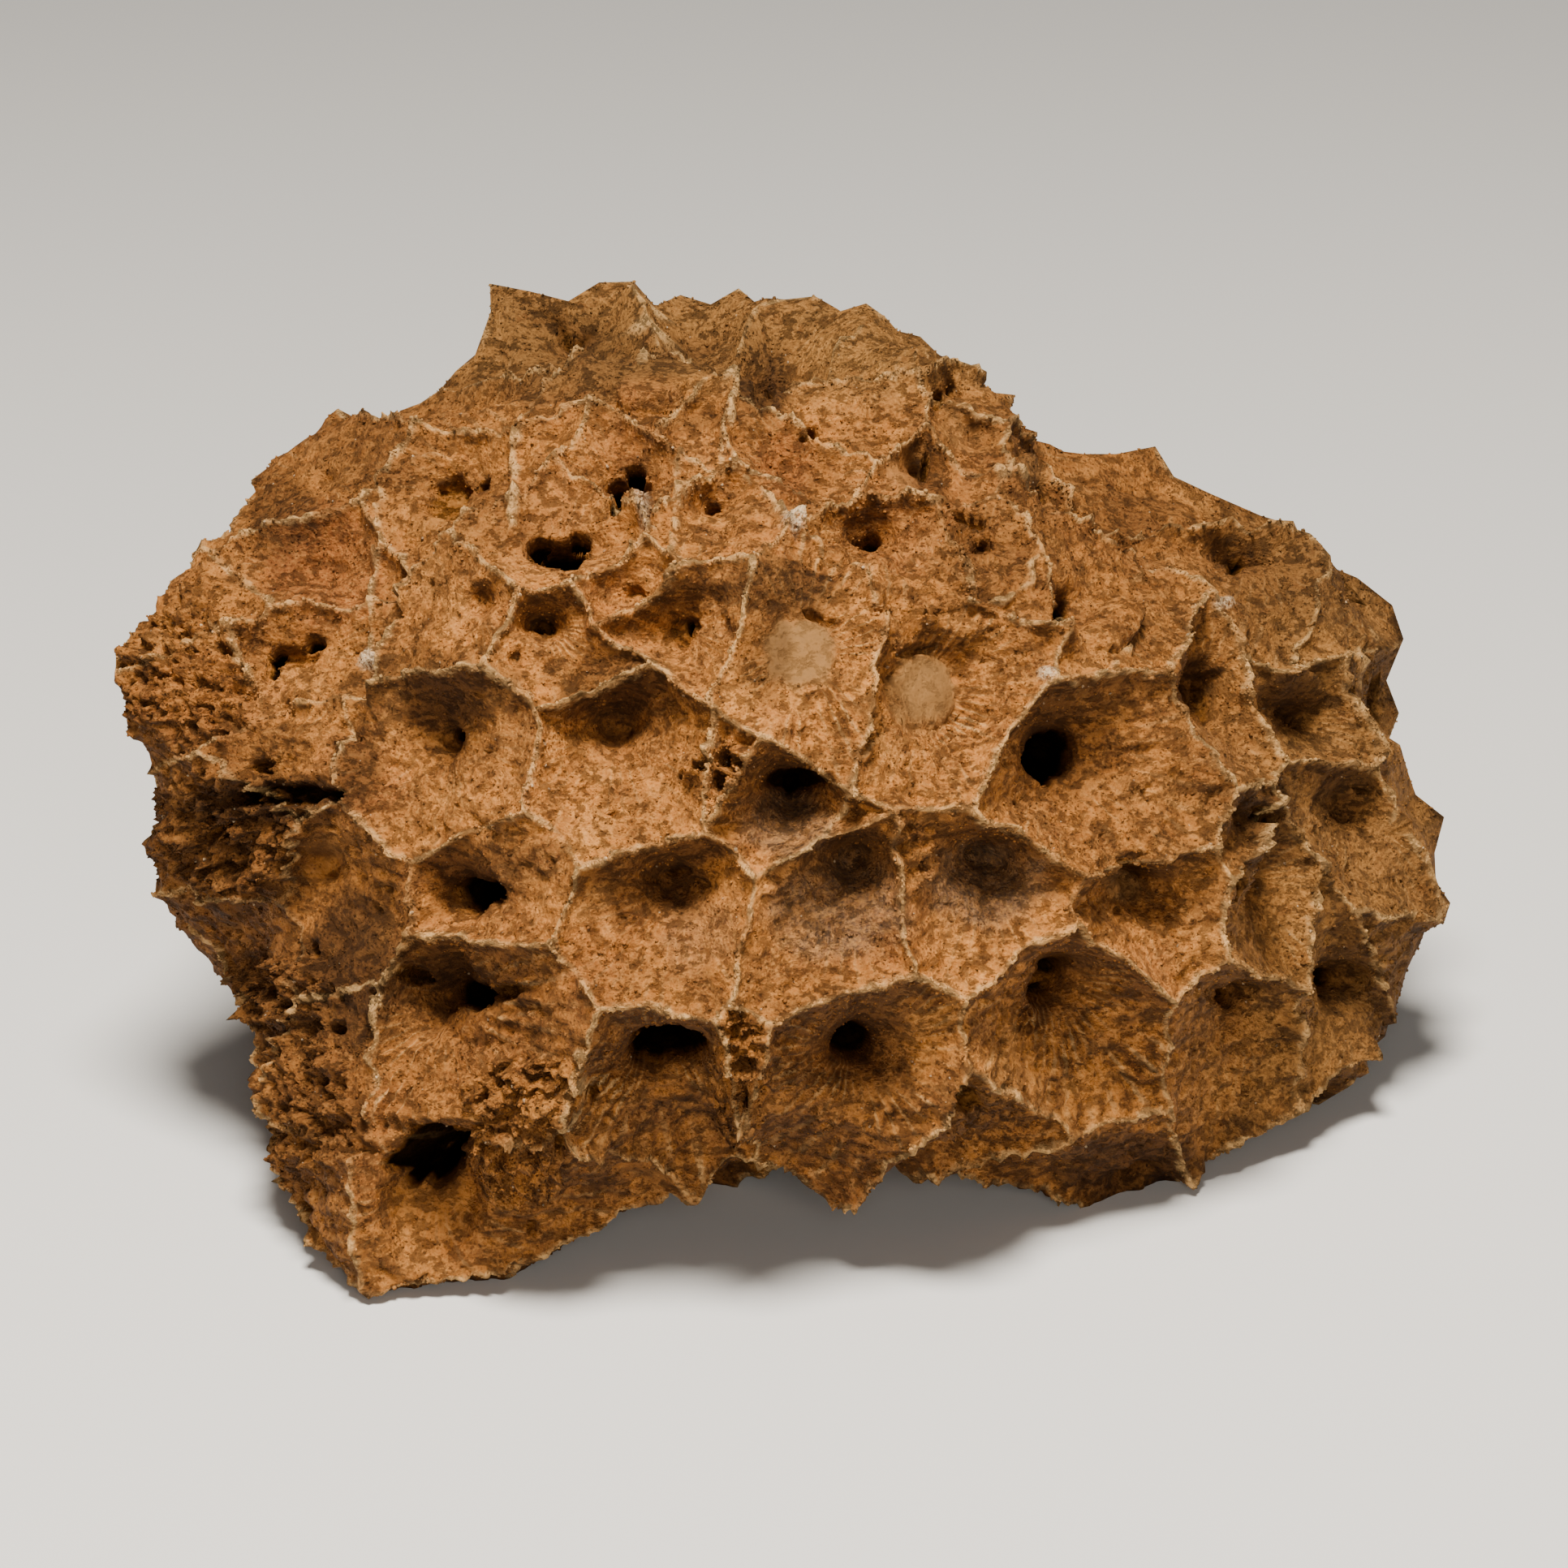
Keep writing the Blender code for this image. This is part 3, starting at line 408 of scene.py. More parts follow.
# small dark holes and cracks: x, y, half width, half height in px, turn in degrees, depth
smallHoles = {
    "eyeCorner": (1276, 948, 24, 13, 50, 2.2),
    "eyeTop": (1306, 910, 16, 13, 20, 2.0),
    "wedgePit": (551, 612, 27, 30, 22, 1.4),
    "chippedUpper": (782, 584, 13, 16, -20, 3.0),
    "chippedLower": (759, 622, 8, 14, 10, 2.4),
    "windowLip": (716, 668, 14, 10, 30, 2.5),
    "windowLeft": (664, 672, 14, 12, -10, 2.5),
    "filledLeft": (835, 772, 5, 13, 15, 0.8),
    "filledRight": (856, 776, 5, 12, -10, 1.5),
    "crossHole": (1073, 662, 11, 12, 20, 1.6),
    "longStreak": (1140, 575, 6, 24, 12, 1.6),
    "notchPit": (1157, 488, 10, 14, 0, 1.4),
    "plugHole": (1287, 607, 9, 12, 0, 2.0),
    "slopingHole": (1314, 752, 10, 15, 10, 2.4),
    "greatHole": (560, 906, 9, 9, 0, 1.4),
    "middleSpeck": (753, 1004, 5, 4, 0, 0.8),
    "spongyDot": (887, 963, 10, 11, 0, 1.6),
    "archDeep": (981, 962, 44, 15, 0, 2.0),
    "creasedLeft": (800, 1082, 14, 6, 20, 0.8),
    "creasedMiddle": (834, 1072, 18, 6, -8, 0.9),
    "creasedRight": (866, 1086, 13, 5, 25, 0.8),
    "mauveSecond": (1019, 1103, 18, 17, 0, 0.6),
    "mauveLobe": (1238, 1066, 15, 14, 0, 0.6),
    "crownLeft": (694, 397, 9, 9, 0, 1.1),
    "crownRight": (730, 402, 9, 9, 0, 1.0),
    "crownLow": (702, 432, 12, 9, 0, 0.9),
    "gapDeep": (943, 480, 15, 20, 0, 0.8),
    "blockSlit": (994, 538, 12, 7, -15, 1.2),
    "crack": (1530, 1087, 5, 30, 20, 1.8),
    "shadowDeep": (1560, 1003, 18, 16, 0, 1.6),
    "domeSpot": (1672, 974, 9, 9, 0, 1.2),
    "gateDeep": (822, 1294, 50, 30, -8, 2.4),
    "footPitLeft": (690, 1414, 8, 10, 0, 1.4),
    "footPitLow": (656, 1512, 8, 8, 0, 1.2),
    "footPitRight": (729, 1349, 9, 9, 0, 1.4),
    "ledgeLeft": (504, 1200, 28, 11, 12, 1.8),
    "ledgeRight": (585, 1226, 24, 17, 22, 2.4),
    "ledgeFar": (622, 1222, 26, 10, -8, 1.6),
    "ribbedUpper": (1302, 1187, 24, 14, -15, 0.9),
    "ribbedLower": (1283, 1229, 17, 14, 10, 0.9),
    "dullLeft": (1500, 1225, 15, 12, 0, 0.8),
    "dullRight": (1535, 1220, 15, 12, 0, 0.8),
    "pupilDark": (582, 1102, 33, 19, 0, 2.4),
    "wellDark": (514, 1430, 46, 42, 0, 5.0),
    "pairUpper": (1524, 669, 9, 9, 0, 1.2),
    "pairLower": (1521, 698, 9, 10, 0, 1.2),
    "ringedDot": (1379, 1124, 6, 6, 0, 1.0),
    "sidePitOne": (267, 1004, 8, 7, 0, 1.0),
    "sidePitTwo": (288, 1017, 9, 8, 0, 1.1),
    "sidePitThree": (262, 1030, 9, 7, 0, 1.0),
    "sidePitFour": (351, 1027, 8, 7, 0, 1.0),
    "groovePit": (384, 1172, 9, 9, 0, 1.1),
    "groovePitLow": (418, 1268, 9, 8, 0, 1.1),
    "grooveLong": (277, 1065, 48, 5, 4, 0.9),
    "lobeSlit": (338, 815, 8, 21, 20, 2.6),
    "lobePit": (387, 792, 12, 9, 0, 2.2),
    "lobeRecess": (323, 946, 12, 9, 0, 1.6),
    "overhangDark": (352, 980, 64, 13, -2, 2.0),
    "heelHole": (376, 1491, 10, 12, 0, 1.6),
    "wellLip": (556, 1402, 18, 10, 30, 1.4),
    "footArchDark": (1191, 1352, 22, 16, 0, 1.6),
    "farDark": (1656, 1203, 44, 22, 0, 1.0),
    "latticeOne": (905, 1270, 7, 9, 0, 1.2),
    "latticeTwo": (921, 1300, 8, 10, 0, 1.3),
    "latticeThree": (899, 1326, 8, 10, 0, 1.3),
    "latticeFour": (920, 1352, 7, 9, 0, 1.2),
    "latticeFive": (904, 1384, 8, 9, 0, 1.2),
    "ovalCrescent": (1130, 801, 26, 5, -12, 0.7),
    "greyCrescent": (1012, 762, 28, 7, 20, 0.8),
    "ringedCrescent": (1408, 1074, 22, 9, 35, 1.2),
    "sideCrescent": (1492, 858, 11, 32, 0, 1.2),
    "recessCrack": (1196, 640, 24, 6, 25, 1.2),
}

# dishes pressed in round the shafts: x, y, half width, half height in px, depth, where the edge starts
dishes = {
    "frontWell": (530, 1482, 68, 82, 4.2, 0.82),
    "mauveCup": (1210, 1062, 66, 46, 2.2, 0.35),
    "ringed": (1394, 1096, 56, 50, 1.8, 0.60),
    "arch": (980, 974, 66, 36, 2.0, 0.25),
    "darkWell": (1054, 1290, 66, 46, 1.5, 0.25),
    "gate": (818, 1300, 66, 44, 1.6, 0.25),
    "pupil": (582, 1104, 46, 28, 1.4, 0.25),
    "blackEye": (1290, 930, 38, 44, 0.8, 0.25),
    "wedge": (550, 606, 36, 38, 0.9, 0.25),
    "roundPit": (667, 772, 25, 22, 0.8, 0.60),
    "cross": (1070, 666, 37, 35, 0.5, 0.75),
    "sideOval": (1480, 858, 36, 50, 2.0, 0.45),
    "creased": (832, 1088, 62, 34, 1.2, 0.25),
    "leftGreat": (550, 902, 62, 44, 0.9, 0.25),
    "middleGreat": (755, 884, 58, 46, 1.0, 0.25),
    "ribbed": (1290, 1204, 58, 42, 0.4, 0.25),
    "mauveBowl": (1045, 1064, 62, 36, 1.0, 0.25),
    "sloping": (1316, 752, 24, 28, 0.8, 0.25),
    "dullRight": (1515, 1226, 48, 30, 0.3, 0.25),
    "ledge": (560, 1222, 84, 26, 0.8, 0.25),
}

# smooth plugs, domes and crumbs: x, y, half width, half height in px, turn in degrees, height
domes = {
    "greyPlug": (985, 806, 46, 42, 0, 0.9),
    "ovalPlug": (1136, 852, 40, 47, -8, 1.0),
    "longPlug": (1117, 578, 24, 32, 15, 0.7),
    "smallPlug": (1264, 582, 26, 20, 0, 0.8),
    "rightUpperFill": (1592, 852, 34, 30, 0, 1.6),
    "rightSmallFill": (1672, 990, 26, 24, 0, 1.0),
    "slopingBoulder": (1367, 775, 31, 28, 0, 2.0),
    "boulder": (803, 484, 44, 28, -8, 2.2),
    "ringedPlug": (1392, 1094, 20, 20, 0, 0.8),
    "crownPlug": (711, 412, 24, 22, 0, 0.5),
    "roundPlug": (667, 774, 15, 14, 0, 0.4),
    "filledPlug": (846, 776, 26, 22, 0, 0.6),
    "lobeDisc": (268, 742, 40, 36, 0, 0.7),
    "whiteCrumb": (977, 646, 15, 14, 0, 0.8),
    "plugChip": (1289, 829, 12, 9, 0, 0.6),
    "lobeCrumb": (455, 810, 14, 10, 20, 0.6),
    "farPatch": (1509, 742, 14, 10, 0, 0.4),
    "raisedChip": (790, 632, 12, 22, -35, 0.8),
}

# raised rings round pits: x, y, radius in px, height
rings = {
    "crownRing": (709, 414, 32, 0.6),
    "slopeRing": (594, 741, 24, 0.5),
    "roundRing": (667, 770, 34, 0.5),
    "ringedRing": (1394, 1092, 36, 0.4),
    "crossRing": (1070, 664, 38, 0.4),
    "spongyRing": (889, 952, 36, 0.5),
    "eyeRing": (1290, 930, 40, 0.3),
    "discRing": (266, 742, 42, 0.35),
}

# ridges inside cups: height, half width in px, then the x, y places that they pass
ridges = {
    "wedgeRidge": (1.2, 9, ((636, 535), (633, 592), (630, 650))),
    "slopeRidge": (0.9, 9, ((470, 600), (462, 700), (462, 800))),
    "pitRidge": (0.9, 8, ((906, 488), (897, 527), (906, 580), (977, 645))),
    "pitWall": (0.8, 9, ((838, 560), (834, 640), (834, 716))),
    "chipLine": (0.7, 5, ((768, 606), (790, 640), (806, 655))),
    "tornLip": (0.9, 8, ((1275, 687), (1268, 718), (1237, 737), (1199, 729))),
    "gateRidge": (1.1, 10, ((717, 1298), (716, 1350), (694, 1394))),
    "slopingRim": (0.8, 8, ((1298, 840), (1344, 842), (1379, 816), (1398, 783))),
    "crownLeftRidge": (1.4, 10, ((610, 354), (604, 393), (600, 440))),
    "crownRightRidge": (1.4, 9, ((799, 374), (795, 410), (790, 446))),
    "farRidge": (0.8, 9, ((1691, 774), (1676, 830), (1659, 889))),
    "archRidge": (0.8, 8, ((1054, 973), (1030, 1010), (992, 1046))),
    "forkLine": (0.5, 5, ((672, 690), (690, 706), (700, 735))),
    "browLine": (0.4, 5, ((510, 566), (535, 558), (560, 570))),
    "jawLine": (0.5, 7, ((575, 1268), (610, 1255), (660, 1250))),
}

# areas of each tint, kind of wear, painted shade and painted light: x, y, half width, half height in px,
# strength
areas = {
    "mauve": {
        "archMauve": (965, 1015, 62, 46, 0.9),
        "floor": (1035, 1120, 90, 70, 0.9),
        "cup": (1216, 1090, 84, 56, 0.9),
        "creasedMauve": (860, 1150, 50, 50, 0.4),
    },
    "grey": {
        "plug": (985, 806, 50, 48, 1.0),
        "ovalPlug": (1136, 852, 44, 52, 1.0),
        "longPlug": (1117, 578, 28, 36, 0.35),
        "topPatch": (1185, 526, 30, 32, 0.35),
        "smallPlug": (1266, 584, 30, 24, 0.5),
        "ringedPlug": (1392, 1094, 24, 24, 0.6),
    },
    "pale": {
        "whiteCrumb": (977, 646, 15, 14, 0.8),
        "plugChip": (1289, 829, 11, 9, 0.7),
        "lobeCrumb": (455, 812, 16, 9, 0.7),
        "farPatch": (1509, 742, 15, 9, 0.5),
        "raisedChip": (794, 628, 9, 24, 0.45),
    },
    "red": {
        "recess": (400, 702, 84, 90, 0.9),
        "boulder": (800, 484, 40, 24, 0.7),
        "facet": (965, 575, 42, 50, 0.8),
        "corner": (440, 960, 60, 60, 0.5),
        "lobe": (250, 860, 90, 60, 0.4),
    },
    "spongy": {
        "foot": (625, 1430, 66, 60, 1.0),
        "lattice": (912, 1325, 38, 88, 1.0),
        "ledge": (645, 1348, 80, 52, 1.0),
        "pit": (888, 950, 44, 42, 1.0),
        "groove": (345, 1225, 80, 50, 0.9),
        "lobe": (235, 830, 100, 100, 0.8),
        "side": (300, 1020, 110, 90, 0.9),
        "heel": (375, 1350, 60, 120, 0.7),
        "block": (1130, 1050, 30, 50, 0.5),
        "arch": (1210, 1370, 80, 50, 0.5),
    },
    "smooth": {
        "dent": (395, 1057, 34, 34, 1.0),
        "patch": (1190, 528, 32, 34, 0.4),
        "oval": (1136, 852, 46, 54, 1.0),
        "grey": (985, 806, 52, 48, 1.0),
        "long": (1114, 578, 26, 34, 0.7),
        "well": (533, 1490, 60, 62, 0.7),
    },
    # painted shade, partly dirt: under overhangs and undersides, in saddles, hollows and holes
    "shadeAndDirt": {
        "underLobe": (330, 985, 130, 34, 1.0),
        "side": (290, 1060, 130, 90, 0.55),
        "groove": (330, 1230, 110, 90, 0.6),
        "heel": (385, 1370, 60, 90, 0.5),
        "foot": (350, 1480, 50, 70, 0.4),
        "arch": (1200, 1350, 60, 40, 0.55),
        "lump": (1390, 1430, 90, 40, 0.7),
        "far": (1680, 1250, 60, 60, 0.4),
        "shadow": (1560, 1003, 46, 44, 0.8),
        "gap": (943, 472, 40, 40, 1.0),
        "saddle": (1400, 640, 60, 40, 0.4),
        "ledge": (560, 1196, 110, 22, 0.4),
        "crown": (700, 430, 120, 60, 0.4),
        "topLeft": (460, 560, 90, 70, 0.4),
        "long": (1142, 576, 28, 40, 0.7),
        "torn": (1215, 690, 60, 70, 0.5),
        "grey": (965, 722, 84, 44, 0.9),
        "well": (533, 1428, 45, 36, 0.5),
        "pupil": (600, 1070, 110, 36, 0.5),
        "mauve": (1050, 1055, 90, 36, 0.4),
        "great": (530, 850, 120, 50, 0.75),
        "middle": (755, 845, 84, 46, 0.75),
        "saddleLeft": (650, 480, 110, 20, 0.45),
        "saddleMiddle": (800, 452, 120, 16, 0.5),
        "boulder": (850, 520, 80, 13, 0.5),
        "slope": (640, 480, 50, 12, 0.4),
        "rightTop": (1330, 620, 80, 50, 0.3),
        "cell": (1270, 640, 50, 60, 0.4),
        "speckLeft": (694, 397, 11, 11, 1.0),
        "speckRight": (730, 402, 11, 11, 1.0),
        "speckLow": (702, 432, 14, 11, 0.9),
        "topEdge": (350, 640, 50, 60, 0.7),
        "border": (440, 1190, 66, 110, 1.0),
        "edge": (440, 935, 34, 66, 0.85),
        "greyLow": (940, 810, 40, 70, 0.6),
        "rim": (600, 640, 110, 44, 0.35),
        "crease": (770, 1105, 80, 34, 0.6),
        "dish": (528, 1478, 60, 66, 0.25),
        "back": (1600, 680, 130, 110, 0.4),
        "topRight": (1250, 540, 60, 50, 0.5),
        "saddleBack": (850, 440, 60, 30, 0.5),
        "lobe": (280, 930, 110, 50, 0.4),
        "under": (1400, 1440, 110, 44, 0.8),
        "underFar": (1560, 1400, 80, 30, 0.4),
        "cracked": (1560, 1050, 60, 20, 0.4),
    },
    "worn": {
        "ledge": (470, 1400, 190, 26, 1.0),
        "oval": (1180, 738, 110, 26, 1.0),
        "lobe": (300, 870, 70, 40, 0.9),
        "top": (1200, 640, 70, 60, 0.5),
        "side": (345, 1130, 50, 90, 0.6),
    },
    # painted light: a pool of it over the middle of the seen side and the foot
    "paintedLight": {
        "middle": (830, 930, 540, 300, 0.9),
        "foot": (1250, 1250, 240, 120, 1.0),
        "block": (1030, 480, 80, 70, 0.7),
        "wedge": (620, 620, 170, 90, 0.5),
        "right": (1430, 1210, 270, 170, 1.0),
        "low": (1390, 1330, 200, 90, 1.0),
        "wellRim": (560, 1450, 130, 90, 0.6),
        "ribbed": (1320, 1200, 120, 60, 1.0),
    },
}

# how strongly the septa, the fine blades that run to a cup's middle, show in each cup
septaStrength = {
    "usual": 0.5,
    "greyBowl": 1.2,
    "ovalPlug": 1.2,
    "middleGreat": 0.9,
    "leftGreat": 0.7,
    "ribbed": 1.7,
    "gate": 1.7,
    "darkWell": 1.4,
    "frontWell": 1.2,
    "ledgeHollow": 1.3,
    "cracked": 0.9,
    "roundPit": 0.9,
    "cross": 0.8,
    "blackEye": 0.7,
    "lobe": 0.1,
    "lobeDisc": 0.1,
    "boulder": 0.0,
    "lattice": 0.1,
    "smoothDent": 0.2,
    "greyPatch": 0.1,
    "rightDome": 0.1,
}


# the photograph's view: right, up and towards its camera
def viewAxes():
    lift = photoView["elevation"]
    right = np.array((1.0, 0.0, 0.0))
    up = np.array((0.0, math.sin(lift), math.cos(lift)))
    toward = np.array((0.0, -math.cos(lift), math.sin(lift)))
    return right, up, toward


def viewTarget():
    return np.array((0.0, 0.0, photoView["targetHeight"]))


def innerPoint():
    return np.array((0.0, 0.0, lump["innerHeight"]))


def unit(vectors):
    return vectors / np.linalg.norm(vectors, axis=-1, keepdims=True)


def photoPoint(x, y, depth):
    right, up, toward = viewAxes()
    scale = photoView["metresPerPx"] * (photoView["distance"] - depth) / photoView["distance"]
    across = (x - photoView["middlePx"]) * scale
    above = (photoView["middlePx"] - y) * scale
    return viewTarget() + right * across + up * above + toward * depth


# where points in space show in the photograph, in px
def photoPixels(points):
    right, up, toward = viewAxes()
    offsets = points - viewTarget()
    scale = photoView["metresPerPx"] * (1.0 - offsets @ toward / photoView["distance"])
    return photoView["middlePx"] + offsets @ right / scale, photoView["middlePx"] - offsets @ up / scale


def directionFromAngles(azimuth, elevation):
    a = math.radians(azimuth)
    e = math.radians(elevation)
    return np.array((math.sin(a) * math.cos(e), -math.cos(a) * math.cos(e), math.sin(e)))


# the lump without its cups: a smooth radius through the body points
class Envelope:
    def __init__(self):
        seen = [photoPoint(x, y, depth * mm) - innerPoint() for x, y, depth in bodyPoints.values()]
        hidden = [directionFromAngles(a, e) * r * mm for a, e, r in hiddenPoints.values()]
        offsets = np.array(seen + hidden)
        radii = np.linalg.norm(offsets, axis=1)
        self.directions = unit(offsets)
        self.mean = radii.mean()
        pull = self.pull(self.directions) + lump["softness"] * np.eye(len(radii))
        self.strength = np.linalg.solve(pull, radii - self.mean)

    def pull(self, directions):
        return np.exp((2.0 * directions @ self.directions.T - 2.0) / lump["kernel"] ** 2)

    def radius(self, directions):
        directions = np.atleast_2d(directions)
        parts = np.array_split(directions, max(1, len(directions) // 50000))
        return np.concatenate([self.mean + self.pull(part) @ self.strength for part in parts])

    # the way out of the lump, square to its surface
    def normal(self, directions):
        directions = np.atleast_2d(directions)
        pull = self.pull(directions) * self.strength
        slope = pull @ self.directions * (2.0 / lump["kernel"] ** 2)
        slope -= directions * (slope * directions).sum(axis=1, keepdims=True)
        radius = self.mean + pull.sum(axis=1)
        return unit(directions * radius[:, None] - slope)

    # the way that a cup opens, given the way out of the lump there
    def wayOut(self, normal):
        toward = viewAxes()[2]
        share = smoothStep(*lump["viewLeanFacing"], normal @ toward)
        return unit(normal + lump["viewLean"] * share[:, None] * toward)

    def sunk(self, directions, depth):
        directions = np.atleast_2d(directions)
        outside = directions * self.radius(directions)[:, None]
        return innerPoint() + outside - self.wayOut(self.normal(directions)) * depth


# the direction in which the lump first shows at a pixel
def directionAtPixel(envelope, x, y):
    depths = np.linspace(*lump["probeDepths"], lump["probeSteps"])
    offsets = np.array([photoPoint(x, y, depth) for depth in depths]) - innerPoint()
    above = np.linalg.norm(offsets, axis=1) - envelope.radius(unit(offsets))
    inside = np.nonzero(above < 0.0)[0]
    hit = inside[0] if len(inside) else int(np.argmin(above))
    return unit(offsets[hit])


# the direction whose point, sunk by a depth, shows at a pixel
def directionOverPixel(envelope, x, y, depth):
    aimX, aimY = x, y
    for _ in range(lump["aimTries"]):
        direction = directionAtPixel(envelope, aimX, aimY)
        seenX, seenY = photoPixels(envelope.sunk(direction, depth))
        aimX += x - float(seenX[0])
        aimY += y - float(seenY[0])
    return direction


# every cup's name, middle, size, shaft direction, shaft radius, bowl and shaft depth
def collectCups(envelope):
    found = []
    for name, (x, y, size, pitX, pitY, pitRadius, bowl, shaft) in cups.items():
        middle = directionAtPixel(envelope, x, y)
        bowl *= lump["bowlDeepening"]
        pit = directionOverPixel(envelope, pitX, pitY, bowl * mm)
        found.append((name, middle, size * photoView["metresPerPx"], pit,
                      pitRadius * mm, bowl * mm, shaft * mm))
    for name, (x, y, depth, size) in behindCups.items():
        middle = unit(photoPoint(x, y, depth * mm) - innerPoint())
        found.append((name, middle, size * photoView["metresPerPx"], middle,
                      *(np.array(behindShaft) * mm)))
    toward = viewAxes()[2]
    random = np.random.RandomState(hiddenCups["seed"])
    goldenAngle = math.pi * (3.0 - math.sqrt(5.0))
    for i in range(hiddenCups["tries"]):
        rise = 1.0 - 2.0 * (i + 0.5) / hiddenCups["tries"]
        ring = math.sqrt(1.0 - rise * rise)
        turn = goldenAngle * i
        direction = np.array((math.cos(turn) * ring, math.sin(turn) * ring, rise))
        direction = unit(direction + random.normal(0.0, hiddenCups["jitter"], 3))
        pit = unit(direction + random.normal(0.0, hiddenCups["shaftJitter"], 3))
        sizes = random.uniform(hiddenCups["least"], hiddenCups["most"])
        nearest = max(float(direction @ cup[1]) for cup in found)
        height = lump["innerHeight"] + direction[2] * float(envelope.radius(direction)[0])
        seen = direction @ toward > hiddenCups["seenFacing"] and height > hiddenCups["seenHeight"]
        if nearest < math.cos(hiddenCups["gap"]) and not seen:
            found.append(("hidden%d" % i, direction, hiddenCups["sizePx"] * photoView["metresPerPx"], pit,
                          *(sizes * mm)))
    return found


# the corners between cups, and each cup's ring of them
def wallNetwork(envelope, allCups):
    hull = bmesh.new()
    cupOf = {}
    for i, cup in enumerate(allCups):
        reach = 1.0 + 0.5 * (cup[2] / float(envelope.radius(cup[1])[0])) ** 2
        cupOf[hull.verts.new(cup[1] * reach)] = i
    bmesh.ops.convex_hull(hull, input=hull.verts)
    bmesh.ops.triangulate(hull, faces=hull.faces)
    hull.normal_update()
    corners = []
    around = {i: [] for i in range(len(allCups))}
    for face in hull.faces:
        normal = np.array(face.normal)
        if normal @ np.array(face.calc_center_median()) < 0.0:
            normal = -normal
        for vertex in face.verts:
            around[cupOf[vertex]].append(len(corners))
        corners.append(normal)
    hull.free()
    corners = np.array(corners)
    cells = []
    for i, cup in enumerate(allCups):
        if len(around[i]) < 3:
            continue
        middle = unit(corners[around[i]].mean(axis=0))
        side = unit(np.cross(middle, (0.31, 0.17, 0.93)))
        other = np.cross(middle, side)
        angles = [(math.atan2(corners[c] @ other, corners[c] @ side), c) for c in around[i]]
        cells.append((cup, [c for _, c in sorted(angles)]))
    return corners, cells


# corners move to where the photograph has them, the closest pairs first
def placeCorners(envelope, corners):
    targets = []
    targetRadii = []
    reaches = []
    for x, y, depth in outlineCrests.values():
        offset = photoPoint(x, y, depth * mm) - innerPoint()
        targets.append(unit(offset))
        targetRadii.append(float(np.linalg.norm(offset)))
        reaches.append(lump["outlineReach"])
    for x, y in wallCorners.values():
        direction = directionAtPixel(envelope, x, y)
        targets.append(direction)
        targetRadii.append(float(envelope.radius(direction)[0]) + lump["crestHeight"])
        reaches.append(lump["cornerReach"])
    radii = envelope.radius(corners) + lump["crestHeight"]
    angles = np.arccos(np.clip(np.array(targets) @ corners.T, -1.0, 1.0))
    placed = set()
    taken = set()
    for pair in np.argsort(angles, axis=None):
        target, corner = divmod(int(pair), len(corners))
        if target in placed or corner in taken or angles[target, corner] > reaches[target]:
            continue
        placed.add(target)
        taken.add(corner)
        radii[corner] = targetRadii[target]
        corners[corner] = targets[target]
    return corners, radii, taken


# corners with almost no wall between them become one
def mergeCorners(corners, radii, taken, cells):
    lead = list(range(len(corners)))

    def leader(c):
        while lead[c] != c:
            c = lead[c]
        return c

    for _, ring in cells:
        for a, b in zip(ring, ring[1:] + ring[:1]):
            first, second = leader(a), leader(b)
            gap = np.linalg.norm(corners[first] * radii[first] - corners[second] * radii[second])
            if first == second or gap > lump["shortestWall"]:
                continue
            if second in taken and first in taken:
                continue
            if second in taken:
                first, second = second, first
            lead[second] = first
    merged = []
    for cup, ring in cells:
        kept = []
        for c in ring:
            if leader(c) not in kept:
                kept.append(leader(c))
        if len(kept) > 2:
            merged.append((cup, kept))
    return merged


# the smallest angle from a direction to a ring's walls, negative outside it
def nearestWall(direction, ring):
    planes = unit(np.cross(ring, np.roll(ring, -1, axis=0)))
    if planes.mean(axis=0) @ ring.mean(axis=0) < 0.0:
        planes = -planes
    return float((planes @ direction).min())


def settlePit(pit, ring):
    middle = unit(ring.mean(axis=0))
    for share in lump["shaftMoves"]:
        moved = unit(pit * (1.0 - share) + middle * share)
        if nearestWall(moved, ring) > lump["shaftRoom"]:
            return moved
    return middle


